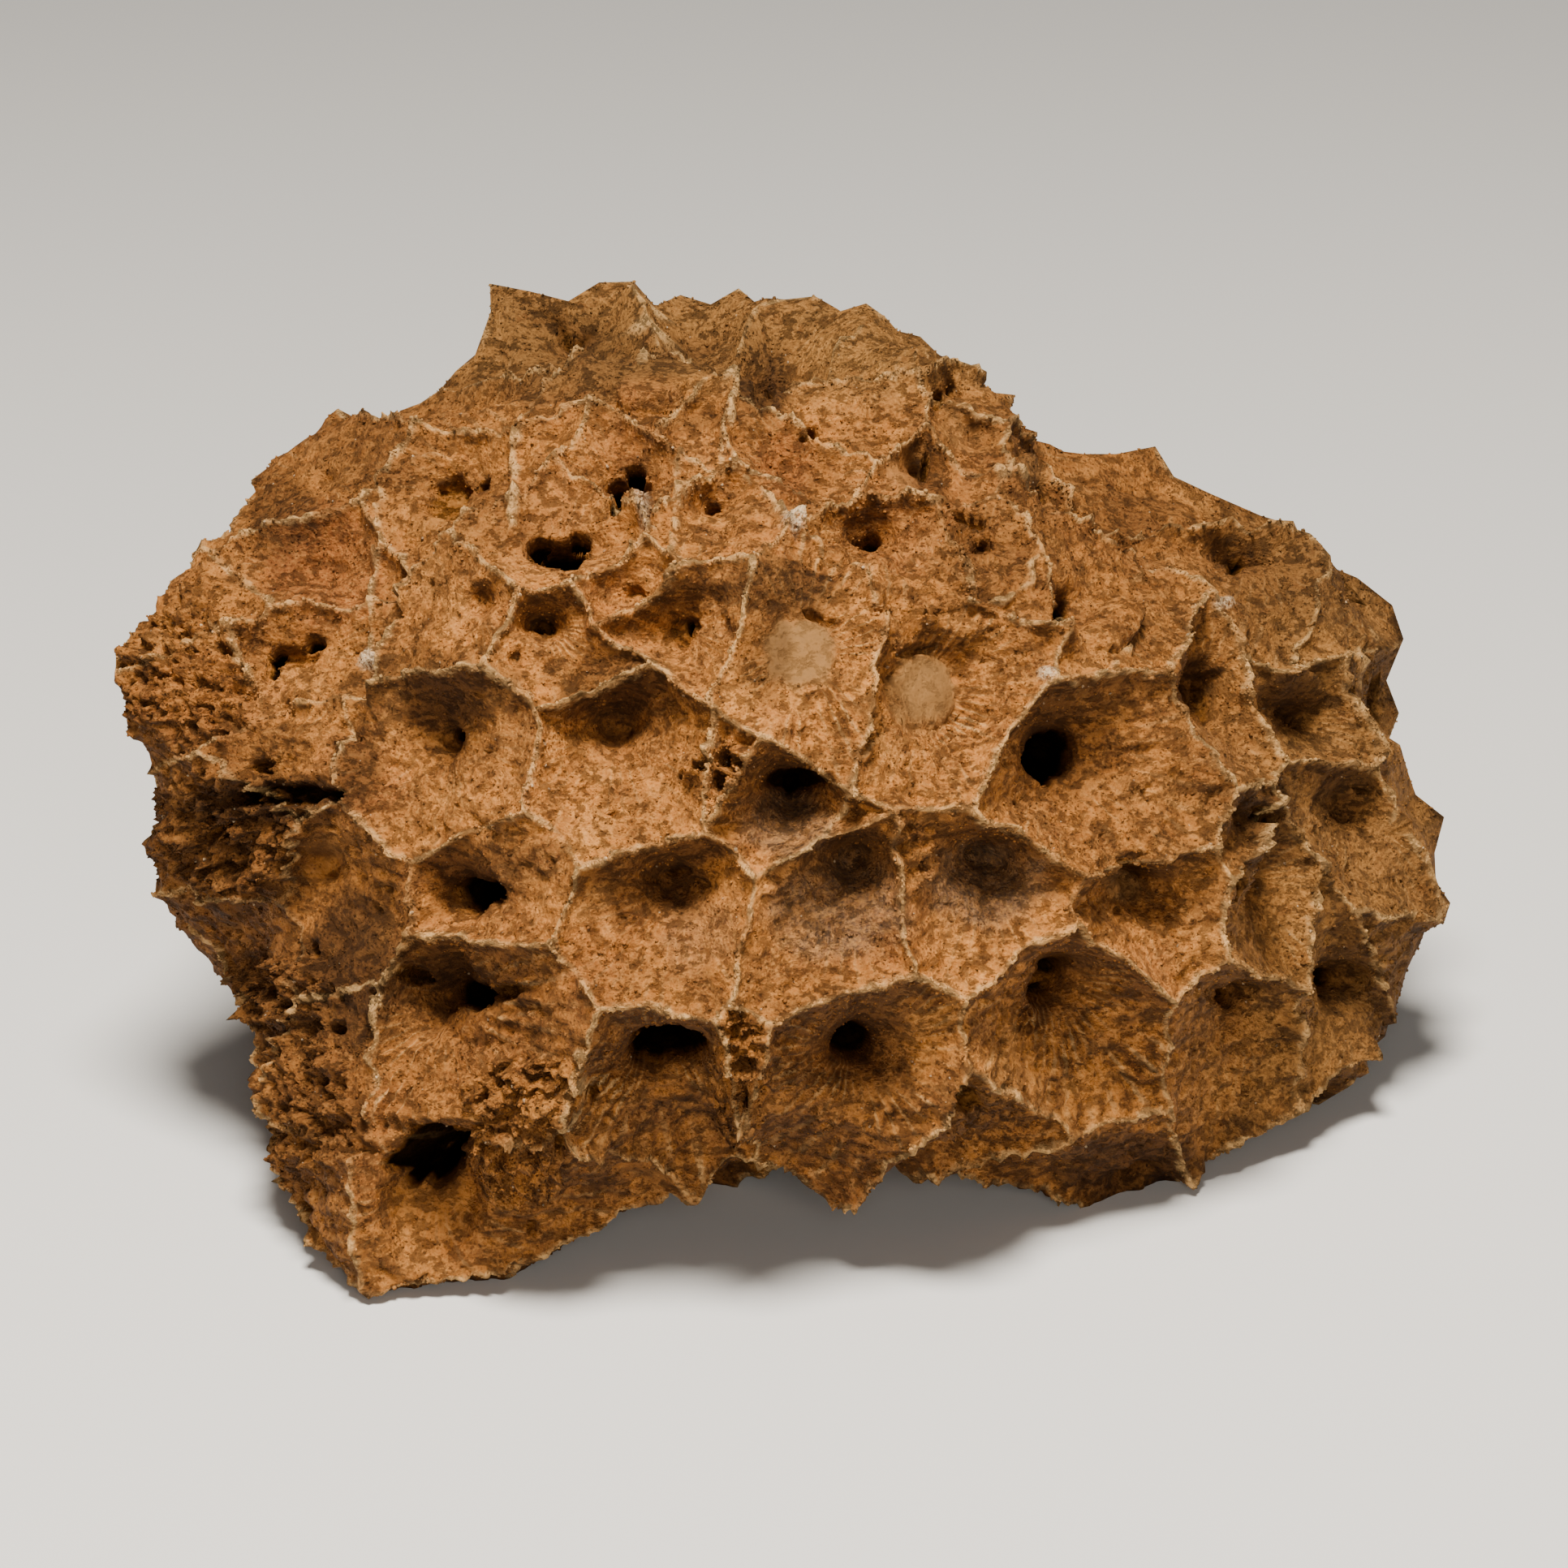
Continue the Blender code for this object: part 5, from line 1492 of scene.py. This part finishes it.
# loose crumbs and grains that stick to the stone, many joined in one piece
crumbs = {
    "crestCrumbs": {"count": 9000, "grain": "ball", "least": 0.07, "most": 0.20, "crest": 1.0, "face": 0.03,
                    "spongy": 0.25, "unseen": 0.15, "seed": 31},
    "faceGrains": {"count": 15500, "grain": "chip", "least": 0.06, "most": 0.15, "crest": 0.7, "face": 0.5,
                   "spongy": 0.6, "unseen": 0.12, "seed": 32},
    "roughGrains": {"count": 15500, "grain": "chip", "least": 0.05, "most": 0.13, "crest": 0.7, "face": 0.6,
                    "spongy": 1.0, "unseen": 0.12, "seed": 33},
}
crumbLook = {
    "crestReach": 0.30,
    "crestPatches": (1.8, -0.12, 0.15, 0.85),  # size, level, share outside and what is added inside
    "facePatches": (3.2, 0.0, 0.35, 0.65),
    "smoothLoss": 0.9,
    "greyLoss": 0.9,
    "darkest": 1.0,            # none sticks further down a shaft
    "lowest": 0.0004,          # in metres, over the floor
    "seenFacing": (-0.3, 0.1),
    "chipSize": 1.3,           # of the cube that a chip starts from
    "sizeCurve": 2.2,          # higher makes more of them small
    "dents": (0.7, 1.25),
    "stretch": (0.6, 1.3),
    "stickOut": 0.25,
    "hollow": -0.05,
    "paleShare": 0.015,
    "pale": 0.5,
}


def makeCrumbs(name, look):
    settings = crumbs[name]
    random = np.random.RandomState(settings["seed"])
    deselectAll()
    if settings["grain"] == "ball":
        bpy.ops.mesh.primitive_ico_sphere_add(subdivisions=1, radius=1.0, location=(0.0, 0.0, 0.0))
    else:
        bpy.ops.mesh.primitive_cube_add(size=crumbLook["chipSize"], location=(0.0, 0.0, 0.0))
        bpy.ops.object.mode_set(mode="EDIT")
        bpy.ops.mesh.select_all(action="SELECT")
        bpy.ops.mesh.quads_convert_to_tris()
        bpy.ops.object.mode_set(mode="OBJECT")
    piece = bpy.context.object
    piece.name = name
    piece.data.name = name
    shape = np.array([vertex.co for vertex in piece.data.vertices])
    shapeFaces = np.array([list(face.vertices) for face in piece.data.polygons])

    # where they stick: chosen by the faces' size, and by how near they are to a crest
    spots, faces = look["spots"], look["faces"]
    corners = spots[faces]
    cross = np.cross(corners[:, 1] - corners[:, 0], corners[:, 2] - corners[:, 0])
    area = np.linalg.norm(cross, axis=1)
    ofFaces = {key: values[faces].mean(axis=1) for key, values in look["marks"].items()}
    middles = corners.mean(axis=1)
    size, level, outside, added = crumbLook["crestPatches"]
    patches = outside + added * (softNoise(middles / mm, size, seeds["crestCrumbs"]) > level)
    near = np.exp(-(ofFaces["wall"] / crumbLook["crestReach"]) ** 2) * patches
    size, level, outside, added = crumbLook["facePatches"]
    patches = outside + added * (softNoise(middles / mm, size, seeds["faceCrumbs"]) > level)
    chance = settings["face"] * patches
    chance = np.maximum(chance, settings["crest"] * near)
    chance = np.maximum(chance, settings["spongy"] * ofFaces["spongy"])
    unsmooth = 1.0 - crumbLook["smoothLoss"] * ofFaces["smooth"]
    ungrey = 1.0 - crumbLook["greyLoss"] * ofFaces["grey"]
    chance *= unsmooth * ungrey * (ofFaces["dark"] < crumbLook["darkest"])
    chance *= middles[:, 2] > crumbLook["lowest"]
    facing = cross @ viewAxes()[2] / np.maximum(area, 1e-12)
    seen = smoothStep(*crumbLook["seenFacing"], facing)
    chance *= settings["unseen"] + (1.0 - settings["unseen"]) * seen
    total = np.cumsum(area * chance)
    count = settings["count"]
    chosen = np.searchsorted(total, random.uniform(0.0, total[-1], count))
    share = random.uniform(0.0, 1.0, (count, 2))
    over = share.sum(axis=1) > 1.0
    share[over] = 1.0 - share[over]
    weights = np.column_stack((1.0 - share.sum(axis=1), share))
    mine = faces[chosen]
    places = (spots[mine] * weights[:, :, None]).sum(axis=1)
    outward = unit((look["normals"][mine] * weights[:, :, None]).sum(axis=1))

    # each a turned, dented lump, partly sunk in the surface
    least, most = settings["least"] * mm, settings["most"] * mm
    size = least + (most - least) * random.uniform(0.0, 1.0, count) ** crumbLook["sizeCurve"]
    turns = random.normal(size=(count, 3, 3))
    turns = np.linalg.qr(turns)[0]
    turns *= np.sign(np.linalg.det(turns))[:, None, None]
    lumps = shape[None] * random.uniform(*crumbLook["dents"], (count, len(shape), 1))
    lumps = lumps * random.uniform(*crumbLook["stretch"], (count, 1, 3))
    lumps = np.einsum("cvi,cij->cvj", lumps, turns) * size[:, None, None]
    outward = outward * size[:, None] * crumbLook["stickOut"]
    points = places[:, None, :] + lumps + outward[:, None, :]
    points = np.clip(points.reshape(-1, 3), cadBox[0], cadBox[1])
    number = len(shape)
    allFaces = (shapeFaces[None] + (np.arange(count) * number)[:, None, None]).reshape(-1, 3)
    mesh = piece.data
    mesh.clear_geometry()
    mesh.from_pydata(points.tolist(), [], allFaces.tolist())
    mesh.polygons.foreach_set("use_smooth", np.ones(len(allFaces), bool))
    marks = {key: np.repeat((values[mine] * weights).sum(axis=1), number)
             for key, values in look["marks"].items()}
    # crumbs count as a little raised, so they take the painted highlight of raised places and none of the
    # painted crease shade
    marks["hollow"] = marks["hollow"] * 0.0 + crumbLook["hollow"]
    pale = (random.uniform(size=count) < crumbLook["paleShare"]) * crumbLook["pale"]
    marks["pale"] = np.maximum(marks["pale"], np.repeat(pale, number))
    marks["septa"] = marks["septa"] * 0.0
    layMarks(mesh, marks)
    mesh.update()
    print("stage:", name, "made,", len(allFaces), "faces")
    return piece


# how hollow the surface is at each point: its neighbours' mean height over it, by their distance
def neighbourBend(spots, normals, edges):
    rise = np.zeros(len(spots))
    number = np.zeros(len(spots))
    step = spots[edges[:, 1]] - spots[edges[:, 0]]
    length = np.linalg.norm(step, axis=1) + 1e-9
    forward = (step * normals[edges[:, 0]]).sum(axis=1) / length
    back = -(step * normals[edges[:, 1]]).sum(axis=1) / length
    np.add.at(rise, edges[:, 0], forward)
    np.add.at(rise, edges[:, 1], back)
    np.add.at(number, edges[:, 0], 1.0)
    np.add.at(number, edges[:, 1], 1.0)
    return rise / np.maximum(number, 1.0)


def spread(values, edges, count):
    total = values.copy()
    number = np.ones(count)
    np.add.at(total, edges[:, 0], values[edges[:, 1]])
    np.add.at(total, edges[:, 1], values[edges[:, 0]])
    np.add.at(number, edges[:, 0], 1.0)
    np.add.at(number, edges[:, 1], 1.0)
    return total / number


# shorthands for building a material's nodes
class Nodes:
    def __init__(self, material):
        material.use_nodes = True
        self.tree = material.node_tree
        self.tree.nodes.clear()

    def add(self, kind, **settings):
        made = self.tree.nodes.new("ShaderNode" + kind)
        for key, value in settings.items():
            setattr(made, key, value)
        return made

    def feed(self, socket, source):
        if hasattr(source, "is_output"):
            self.tree.links.new(source, socket)
        else:
            socket.default_value = source

    def math(self, operation, a, b=0.0, c=0.0):
        made = self.add("Math", operation=operation)
        for socket, source in zip(made.inputs, (a, b, c)):
            self.feed(socket, source)
        return made.outputs[0]

    def ramp(self, value, low, high, outLow=0.0, outHigh=1.0):
        made = self.add("MapRange", interpolation_type="SMOOTHSTEP")
        for name, source in (("Value", value), ("From Min", low), ("From Max", high),
                             ("To Min", outLow), ("To Max", outHigh)):
            self.feed(made.inputs[name], source)
        return made.outputs[0]

    def mix(self, share, a, b, blend="MIX"):
        made = self.add("Mix", data_type="RGBA", blend_type=blend, clamp_factor=True)
        self.feed(made.inputs[0], share)
        self.feed(made.inputs[6], a)
        self.feed(made.inputs[7], b)
        return made.outputs[2]

    def noise(self, place, size, detail, roughness, distortion):
        made = self.add("TexNoise", noise_dimensions="3D")
        self.feed(made.inputs["Vector"], place)
        self.feed(made.inputs["Scale"], 1.0 / size)
        self.feed(made.inputs["Detail"], detail)
        self.feed(made.inputs["Roughness"], roughness)
        self.feed(made.inputs["Distortion"], distortion)
        return made.outputs["Fac"]

    def spots(self, place, size):
        made = self.add("TexVoronoi", feature="F1")
        self.feed(made.inputs["Vector"], place)
        self.feed(made.inputs["Scale"], 1.0 / size)
        return made.outputs["Distance"]

    def mark(self, name):
        return self.add("Attribute", attribute_name=name).outputs["Fac"]


stone = {
    "ochre": (0.345, 0.122, 0.021, 1.0),
    "paleOchre": (0.50, 0.205, 0.046, 1.0),
    "brown": (0.135, 0.044, 0.008, 1.0),
    # dark brown for dirt in grains, pores, crevices and seams, and for painted shade in creases, patches and
    # under faces that point down
    "dirtAndShade": (0.036, 0.013, 0.0025, 1.0),
    # near black, the painted shadow down the holes and shafts
    "holeShadow": (0.011, 0.0045, 0.0014, 1.0),
    "ridge": (0.76, 0.47, 0.19, 1.0),
    "chip": (0.78, 0.60, 0.38, 1.0),
    "grain": (0.58, 0.28, 0.080, 1.0),
    "grey": (0.215, 0.112, 0.037, 1.0),
    "mauve": (0.108, 0.067, 0.042, 1.0),
    "red": (0.24, 0.068, 0.014, 1.0),
    "farShade": (0.17, 0.085, 0.022, 1.0),
    "paintedLightGain": (1.36, 1.38, 1.40, 1.0),
    "flatness": (1.0, 1.0, 1.6),
    "roughness": (0.68, 0.90),
    "specular": (0.16, 0.01),  # on the faces and down the shafts
    "bump": 1.0,
}


# the stone's patterns: size in mm, detail, roughness and distortion of each
stonePatterns = {
    "broad": (9.0, 2.0, 0.55, 0.0),
    "fields": (4.6, 3.0, 0.6, 0.2),
    "patches": (2.6, 4.0, 0.6, 0.4),
    "stains": (1.7, 6.0, 0.72, 0.2),
    "crevices": (1.25, 7.0, 0.74, 0.15),
    "mottle": (0.9, 5.0, 0.65, 0.0),
    "grain": (0.30, 4.0, 0.7, 0.0),
}
stoneSpots = {
    "specks": 0.42,
    "granules": 0.62,
}
# where a pattern or mark starts and ends to show, then how much it shows there where that isn't 0 and 1
stoneSteps = {
    "ochre": (0.30, 0.56),
    "paleMottle": (0.48, 0.82),
    "brownFields": (0.50, 0.36, 0.0, 0.6),
    "paleFields": (0.52, 0.64, 0.0, 0.5),
    "redFields": (0.5, 0.7),
    "grains": (0.35, 0.75, 0.0, 0.55),
    "dirtGrains": (0.45, 0.24, 0.0, 0.8),
    "brownStains": (0.46, 0.34, 0.0, 0.50),
    "paleStains": (0.60, 0.74, 0.0, 0.35),
    "septaPatches": (0.30, 0.60),
    "septaGaps": (0.55, 0.05),
    "septaTops": (0.8, 1.0),
    "deep": (3.4, 8.0),
    "under": (0.45, -0.45),
    "cracks": (0.36, 0.62),
    "pores": (0.30, 0.10),
    "crevices": (0.390, 0.320),
    "seamStains": (0.62, 0.44),
    "seams": (0.52, 0.80),
    "mauve": (0.30, 0.60, 0.45, 0.9),
    "shadeAndDirt": (0.25, 0.55, 0.45, 0.85),
    "dark": (1.0, 2.3),
    "crest": (0.40, 0.14),
    "whole": (0.37, 0.58, 0.18, 1.0),
    "raised": (0.12, -0.12),
    "lines": (0.15, 0.7, 0.0, 0.5),
    "chips": (0.36, 0.55),
    "creviceWalls": (0.34, 0.50),
    "speckWalls": (0.0, 0.45),
    "rough": (0.2, 0.8),
    "matt": (0.4, 1.6),
}
# how strongly each tint covers what is under it, then the shares that smooth, worn and low places take off
stoneTints = {
    "redFields": 0.35,
    "red": 0.75,
    "farShade": 0.7,
    "grain": 0.7,
    "septaGaps": 0.6,
    "septaTops": 0.35,
    "deep": 0.7,
    "under": 0.75,
    "cracks": 0.85,
    "pores": 0.30,
    "spongyPores": 0.45,
    "crevices": 0.80,
    "seams": 0.28,
    "grey": 0.85,
    "crest": 0.95,
    "raised": 0.30,
    "smoothed": -0.9,
    "wornOff": -0.9,
    "lowCrest": 0.5,
}
# how far the patterns bend the edges of other marks
stoneWander = {
    "septa": 3.0,
    "deep": 2.0,
    "under": 0.4,
    "cracks": 0.5,
    "raised": 0.4,
    "crestMottle": 0.7,
    "crestGrain": 0.35,
    "crestMiddle": -0.45,
}
# fine relief in mm, and the share that smooth places take off
stoneHeights = {
    "mottle": 0.32,
    "grain": 0.26,
    "crevices": 0.34,
    "granules": -0.15,
    "specks": 0.10,
    "septa": 0.12,
    "pores": -0.15,
    "smoothed": -0.8,
}


def coralStone():
    material = bpy.data.materials.new("coralStone")
    n = Nodes(material)
    toMm = n.add("Mapping", vector_type="POINT")
    n.feed(toMm.inputs["Vector"], n.add("TexCoord").outputs["Object"])
    toMm.inputs["Scale"].default_value = (1000.0, 1000.0, 1000.0)
    place = toMm.outputs["Vector"]

    # crevices and granules lie flat, wider than they are high
    flattened = n.add("Mapping", vector_type="POINT")
    n.feed(flattened.inputs["Vector"], place)
    flattened.inputs["Scale"].default_value = stone["flatness"]
    flatPlace = flattened.outputs["Vector"]

    broad = n.noise(place, *stonePatterns["broad"])
    fields = n.noise(place, *stonePatterns["fields"])
    patches = n.noise(place, *stonePatterns["patches"])
    stains = n.noise(place, *stonePatterns["stains"])
    crevices = n.noise(flatPlace, *stonePatterns["crevices"])
    mottle = n.noise(place, *stonePatterns["mottle"])
    grain = n.noise(place, *stonePatterns["grain"])
    specks = n.spots(place, stoneSpots["specks"])
    granules = n.spots(flatPlace, stoneSpots["granules"])
    wall = n.mark("wall")
    sunk = n.mark("sunk")
    hollow = n.mark("hollow")

    def shows(pattern, name):
        return n.ramp(pattern, *stoneSteps[name])

    def less(value, name):
        return n.math("MULTIPLY", value, stoneTints[name])

    def bent(value, name, pattern=mottle):
        return n.math("MULTIPLY_ADD", pattern, stoneWander[name], value)

    def lift(pattern, name, height):
        return n.math("MULTIPLY_ADD", pattern, stoneHeights[name], height)

    # the stone itself: ochre with brown and pale patches and a fine grain
    colour = n.mix(shows(patches, "ochre"), stone["brown"], stone["ochre"])
    colour = n.mix(shows(mottle, "paleMottle"), colour, stone["paleOchre"])
    colour = n.mix(shows(fields, "brownFields"), colour, stone["brown"])
    colour = n.mix(shows(fields, "paleFields"), colour, stone["paleOchre"])
    colour = n.mix(less(shows(broad, "redFields"), "redFields"), colour, stone["red"])
    colour = n.mix(less(n.mark("red"), "red"), colour, stone["red"])
    # painted shade over the far right side and the top
    colour = n.mix(less(n.mark("farShade"), "farShade"), colour, stone["farShade"])
    colour = n.mix(shows(grain, "grains"), colour, n.mix(stoneTints["grain"], colour, stone["grain"]))
    colour = n.mix(shows(grain, "dirtGrains"), colour, stone["dirtAndShade"])
    colour = n.mix(shows(stains, "brownStains"), colour, stone["brown"])
    colour = n.mix(shows(stains, "paleStains"), colour, stone["grain"])

    # painted light: lighter faces in the middle of the seen side
    gain = n.mix(n.mark("paintedLight"), (1.0, 1.0, 1.0, 1.0), stone["paintedLightGain"])
    colour = n.mix(1.0, colour, gain, "MULTIPLY")

    # septa: fine blades round each cup's shaft, with painted shade between them and a painted highlight on
    # their tops
    cupMap = n.add("UVMap", uv_map="cupMap").outputs["UV"]
    split = n.add("SeparateXYZ")
    n.feed(split.inputs[0], cupMap)
    angle = n.math("ARCTAN2", split.outputs["Y"], split.outputs["X"])
    wander = n.math("MULTIPLY", mottle, stoneWander["septa"])
    turn = n.math("MULTIPLY_ADD", angle, float(relief["septa"]), wander)
    blade = n.math("MULTIPLY_ADD", n.math("COSINE", turn), 0.5, 0.5)
    bladeArea = n.math("MULTIPLY", n.mark("septa"), shows(patches, "septaPatches"))
    between = n.math("MULTIPLY", shows(blade, "septaGaps"), bladeArea)
    colour = n.mix(less(between, "septaGaps"), colour, stone["brown"])
    tops = n.math("MULTIPLY", shows(blade, "septaTops"), bladeArea)
    colour = n.mix(less(tops, "septaTops"), colour, stone["ridge"])

    # painted shade, partly dirt, in the hollows, in creases, on faces that point down and down the shafts;
    # dirt in the pores, crevices and seams
    # painted shade, with some dirt: darker the deeper a place is sunk
    depth = n.math("ADD", sunk, n.math("MULTIPLY", patches, stoneWander["deep"]))
    colour = n.mix(less(shows(depth, "deep"), "deep"), colour, stone["brown"])
    # painted shade: faces that point down are darker
    facing = n.add("SeparateXYZ")
    n.feed(facing.inputs[0], n.add("NewGeometry").outputs["Normal"])
    under = shows(bent(facing.outputs["Z"], "under"), "under")
    colour = n.mix(less(under, "under"), colour, stone["dirtAndShade"])
    # painted shade, with some dirt, in creases where the surface is hollow
    colour = n.mix(less(shows(bent(hollow, "cracks"), "cracks"), "cracks"), colour, stone["dirtAndShade"])
    poreArea = n.math("MULTIPLY_ADD", n.mark("spongy"), stoneTints["spongyPores"], stoneTints["pores"])
    pores = n.math("MULTIPLY", shows(specks, "pores"), poreArea)
    colour = n.mix(pores, colour, stone["dirtAndShade"])
    bare = n.math("MULTIPLY_ADD", n.mark("smooth"), stoneTints["smoothed"], 1.0)
    crevice = n.math("MULTIPLY", shows(crevices, "crevices"), bare)
    colour = n.mix(less(crevice, "crevices"), colour, stone["dirtAndShade"])
    seamArea = n.math("MULTIPLY", shows(stains, "seamStains"), bare)
    seams = n.math("MULTIPLY", shows(granules, "seams"), seamArea)
    colour = n.mix(less(seams, "seams"), colour, stone["dirtAndShade"])
    mauve = n.math("MULTIPLY", n.mark("mauve"), shows(mottle, "mauve"))
    colour = n.mix(mauve, colour, n.mix(shows(grain, "grains"), stone["mauve"], stone["grain"]))
    colour = n.mix(less(n.mark("grey"), "grey"), colour, stone["grey"])
    # painted shade, partly dirt, over the listed patches
    shadeAndDirt = n.math("MULTIPLY", n.mark("shadeAndDirt"), shows(patches, "shadeAndDirt"))
    colour = n.mix(shadeAndDirt, colour, stone["dirtAndShade"])
    # painted shadow: near black down the small holes and the shafts
    colour = n.mix(shows(n.mark("dark"), "dark"), colour, stone["holeShadow"])

    # painted highlight: pale broken lines along the crests, weaker where they are worn, paler inner ridges
    # and raised places; white where they are chipped
    wander = n.math("MULTIPLY_ADD", grain, stoneWander["crestGrain"], stoneWander["crestMiddle"])
    crest = shows(n.math("ADD", wall, bent(wander, "crestMottle")), "crest")
    raised = shows(bent(hollow, "raised"), "raised")
    height = n.math("MULTIPLY_ADD", raised, 1.0 - stoneTints["lowCrest"], stoneTints["lowCrest"])
    crest = n.math("MULTIPLY", n.math("MULTIPLY", crest, shows(patches, "whole")), height)
    unworn = n.math("MULTIPLY_ADD", n.mark("worn"), stoneTints["wornOff"], 1.0)
    crest = n.math("MULTIPLY", crest, unworn)
    colour = n.mix(less(crest, "crest"), colour, stone["ridge"])
    colour = n.mix(less(raised, "raised"), colour, stone["paleOchre"])
    colour = n.mix(shows(n.mark("line"), "lines"), colour, stone["ridge"])
    chips = n.math("MULTIPLY", n.mark("pale"), shows(grain, "chips"))
    colour = n.mix(chips, colour, stone["chip"])

    # fine relief, in mm
    height = n.math("MULTIPLY", mottle, stoneHeights["mottle"])
    height = lift(grain, "grain", height)
    height = lift(shows(crevices, "creviceWalls"), "crevices", height)
    height = lift(granules, "granules", height)
    height = lift(shows(specks, "speckWalls"), "specks", height)
    height = lift(n.math("MULTIPLY", blade, bladeArea), "septa", height)
    height = lift(n.ramp(pores, 0.0, 1.0), "pores", height)
    left = n.math("MULTIPLY_ADD", n.mark("smooth"), stoneHeights["smoothed"], 1.0)
    height = n.math("MULTIPLY", height, left)
    bump = n.add("Bump")
    n.feed(bump.inputs["Strength"], stone["bump"])
    n.feed(bump.inputs["Distance"], mm)
    n.feed(bump.inputs["Height"], height)

    shader = n.add("BsdfPrincipled")
    n.feed(shader.inputs["Base Color"], colour)
    n.feed(shader.inputs["Roughness"], n.ramp(grain, *stoneSteps["rough"], *stone["roughness"]))
    matt = n.ramp(n.mark("dark"), *stoneSteps["matt"], *stone["specular"])
    n.feed(shader.inputs["Specular IOR Level"], matt)
    n.feed(shader.inputs["Normal"], bump.outputs["Normal"])
    output = n.add("OutputMaterial")
    n.feed(output.inputs["Surface"], shader.outputs["BSDF"])
    return material


studio = {
    "floorSize": 4.0,
    "floorColour": (0.80, 0.79, 0.77, 1.0),
    "worldColour": (1.0, 0.98, 0.95, 1.0),
    "worldStrength": 0.05,
    "floorRoughness": 0.9,
    "lampAim": (0.0, 0.0, 0.03),
}

# soft lamps: place, size, power and colour
lamps = {
    "top": ((-0.02, -0.17, 0.50), 0.16, 6.2, (1.0, 0.94, 0.85)),
    "front": ((0.05, -0.60, 0.20), 0.30, 1.6, (1.0, 0.95, 0.88)),
}


def makeStudio():
    deselectAll()
    bpy.ops.mesh.primitive_plane_add(size=studio["floorSize"], location=(0.0, 0.0, 0.0))
    floor = bpy.context.object
    floor.name = "floor"
    material = bpy.data.materials.new("paleFloor")
    n = Nodes(material)
    shader = n.add("BsdfPrincipled")
    shader.inputs["Base Color"].default_value = studio["floorColour"]
    shader.inputs["Roughness"].default_value = studio["floorRoughness"]
    n.feed(n.add("OutputMaterial").inputs["Surface"], shader.outputs["BSDF"])
    floor.data.materials.append(material)
    world = bpy.data.worlds.new("studioWorld")
    bpy.context.scene.world = world
    world.use_nodes = True
    background = world.node_tree.nodes["Background"]
    background.inputs["Color"].default_value = studio["worldColour"]
    background.inputs["Strength"].default_value = studio["worldStrength"]
    for name, (place, size, power, colour) in lamps.items():
        bpy.ops.object.light_add(type="AREA", location=place)
        lamp = bpy.context.object
        lamp.name = name + "Lamp"
        lamp.data.shape = "DISK"
        lamp.data.size = size
        lamp.data.energy = power
        lamp.data.color = colour
        aim = Vector(studio["lampAim"]) - Vector(place)
        lamp.rotation_euler = aim.to_track_quat("-Z", "Y").to_euler()
    print("stage: floor and lamps set")


def makeCamera(colony):
    right, up, toward = viewAxes()
    target = viewTarget() - colony.shift
    place = target + toward * photoView["distance"]
    bpy.ops.object.camera_add(location=place)
    camera = bpy.context.object
    camera.name = "photoCamera"
    camera.rotation_euler = Vector(-toward).to_track_quat("-Z", "Y").to_euler()
    frameWidth = 2.0 * photoView["middlePx"] * photoView["metresPerPx"]
    camera.data.sensor_width = photoView["sensorWidth"]
    camera.data.lens = photoView["sensorWidth"] * photoView["distance"] / frameWidth
    camera.data.clip_start = photoView["clipStart"]
    bpy.context.scene.camera = camera
    print("stage: camera set")


colony = Colony()
makeCamera(colony)
makeStudio()
fossilCoral = makeCoral(colony)
coralLook = markCoral(fossilCoral, colony)
finish = coralStone()
fossilCoral.data.materials.append(finish)
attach(fossilCoral, "root")
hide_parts("coral_colony")
for name in crumbs:
    crumbPiece = makeCrumbs(name, coralLook)
    crumbPiece.data.materials.append(finish)
    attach(crumbPiece, "root")
print("stage: coral finished")
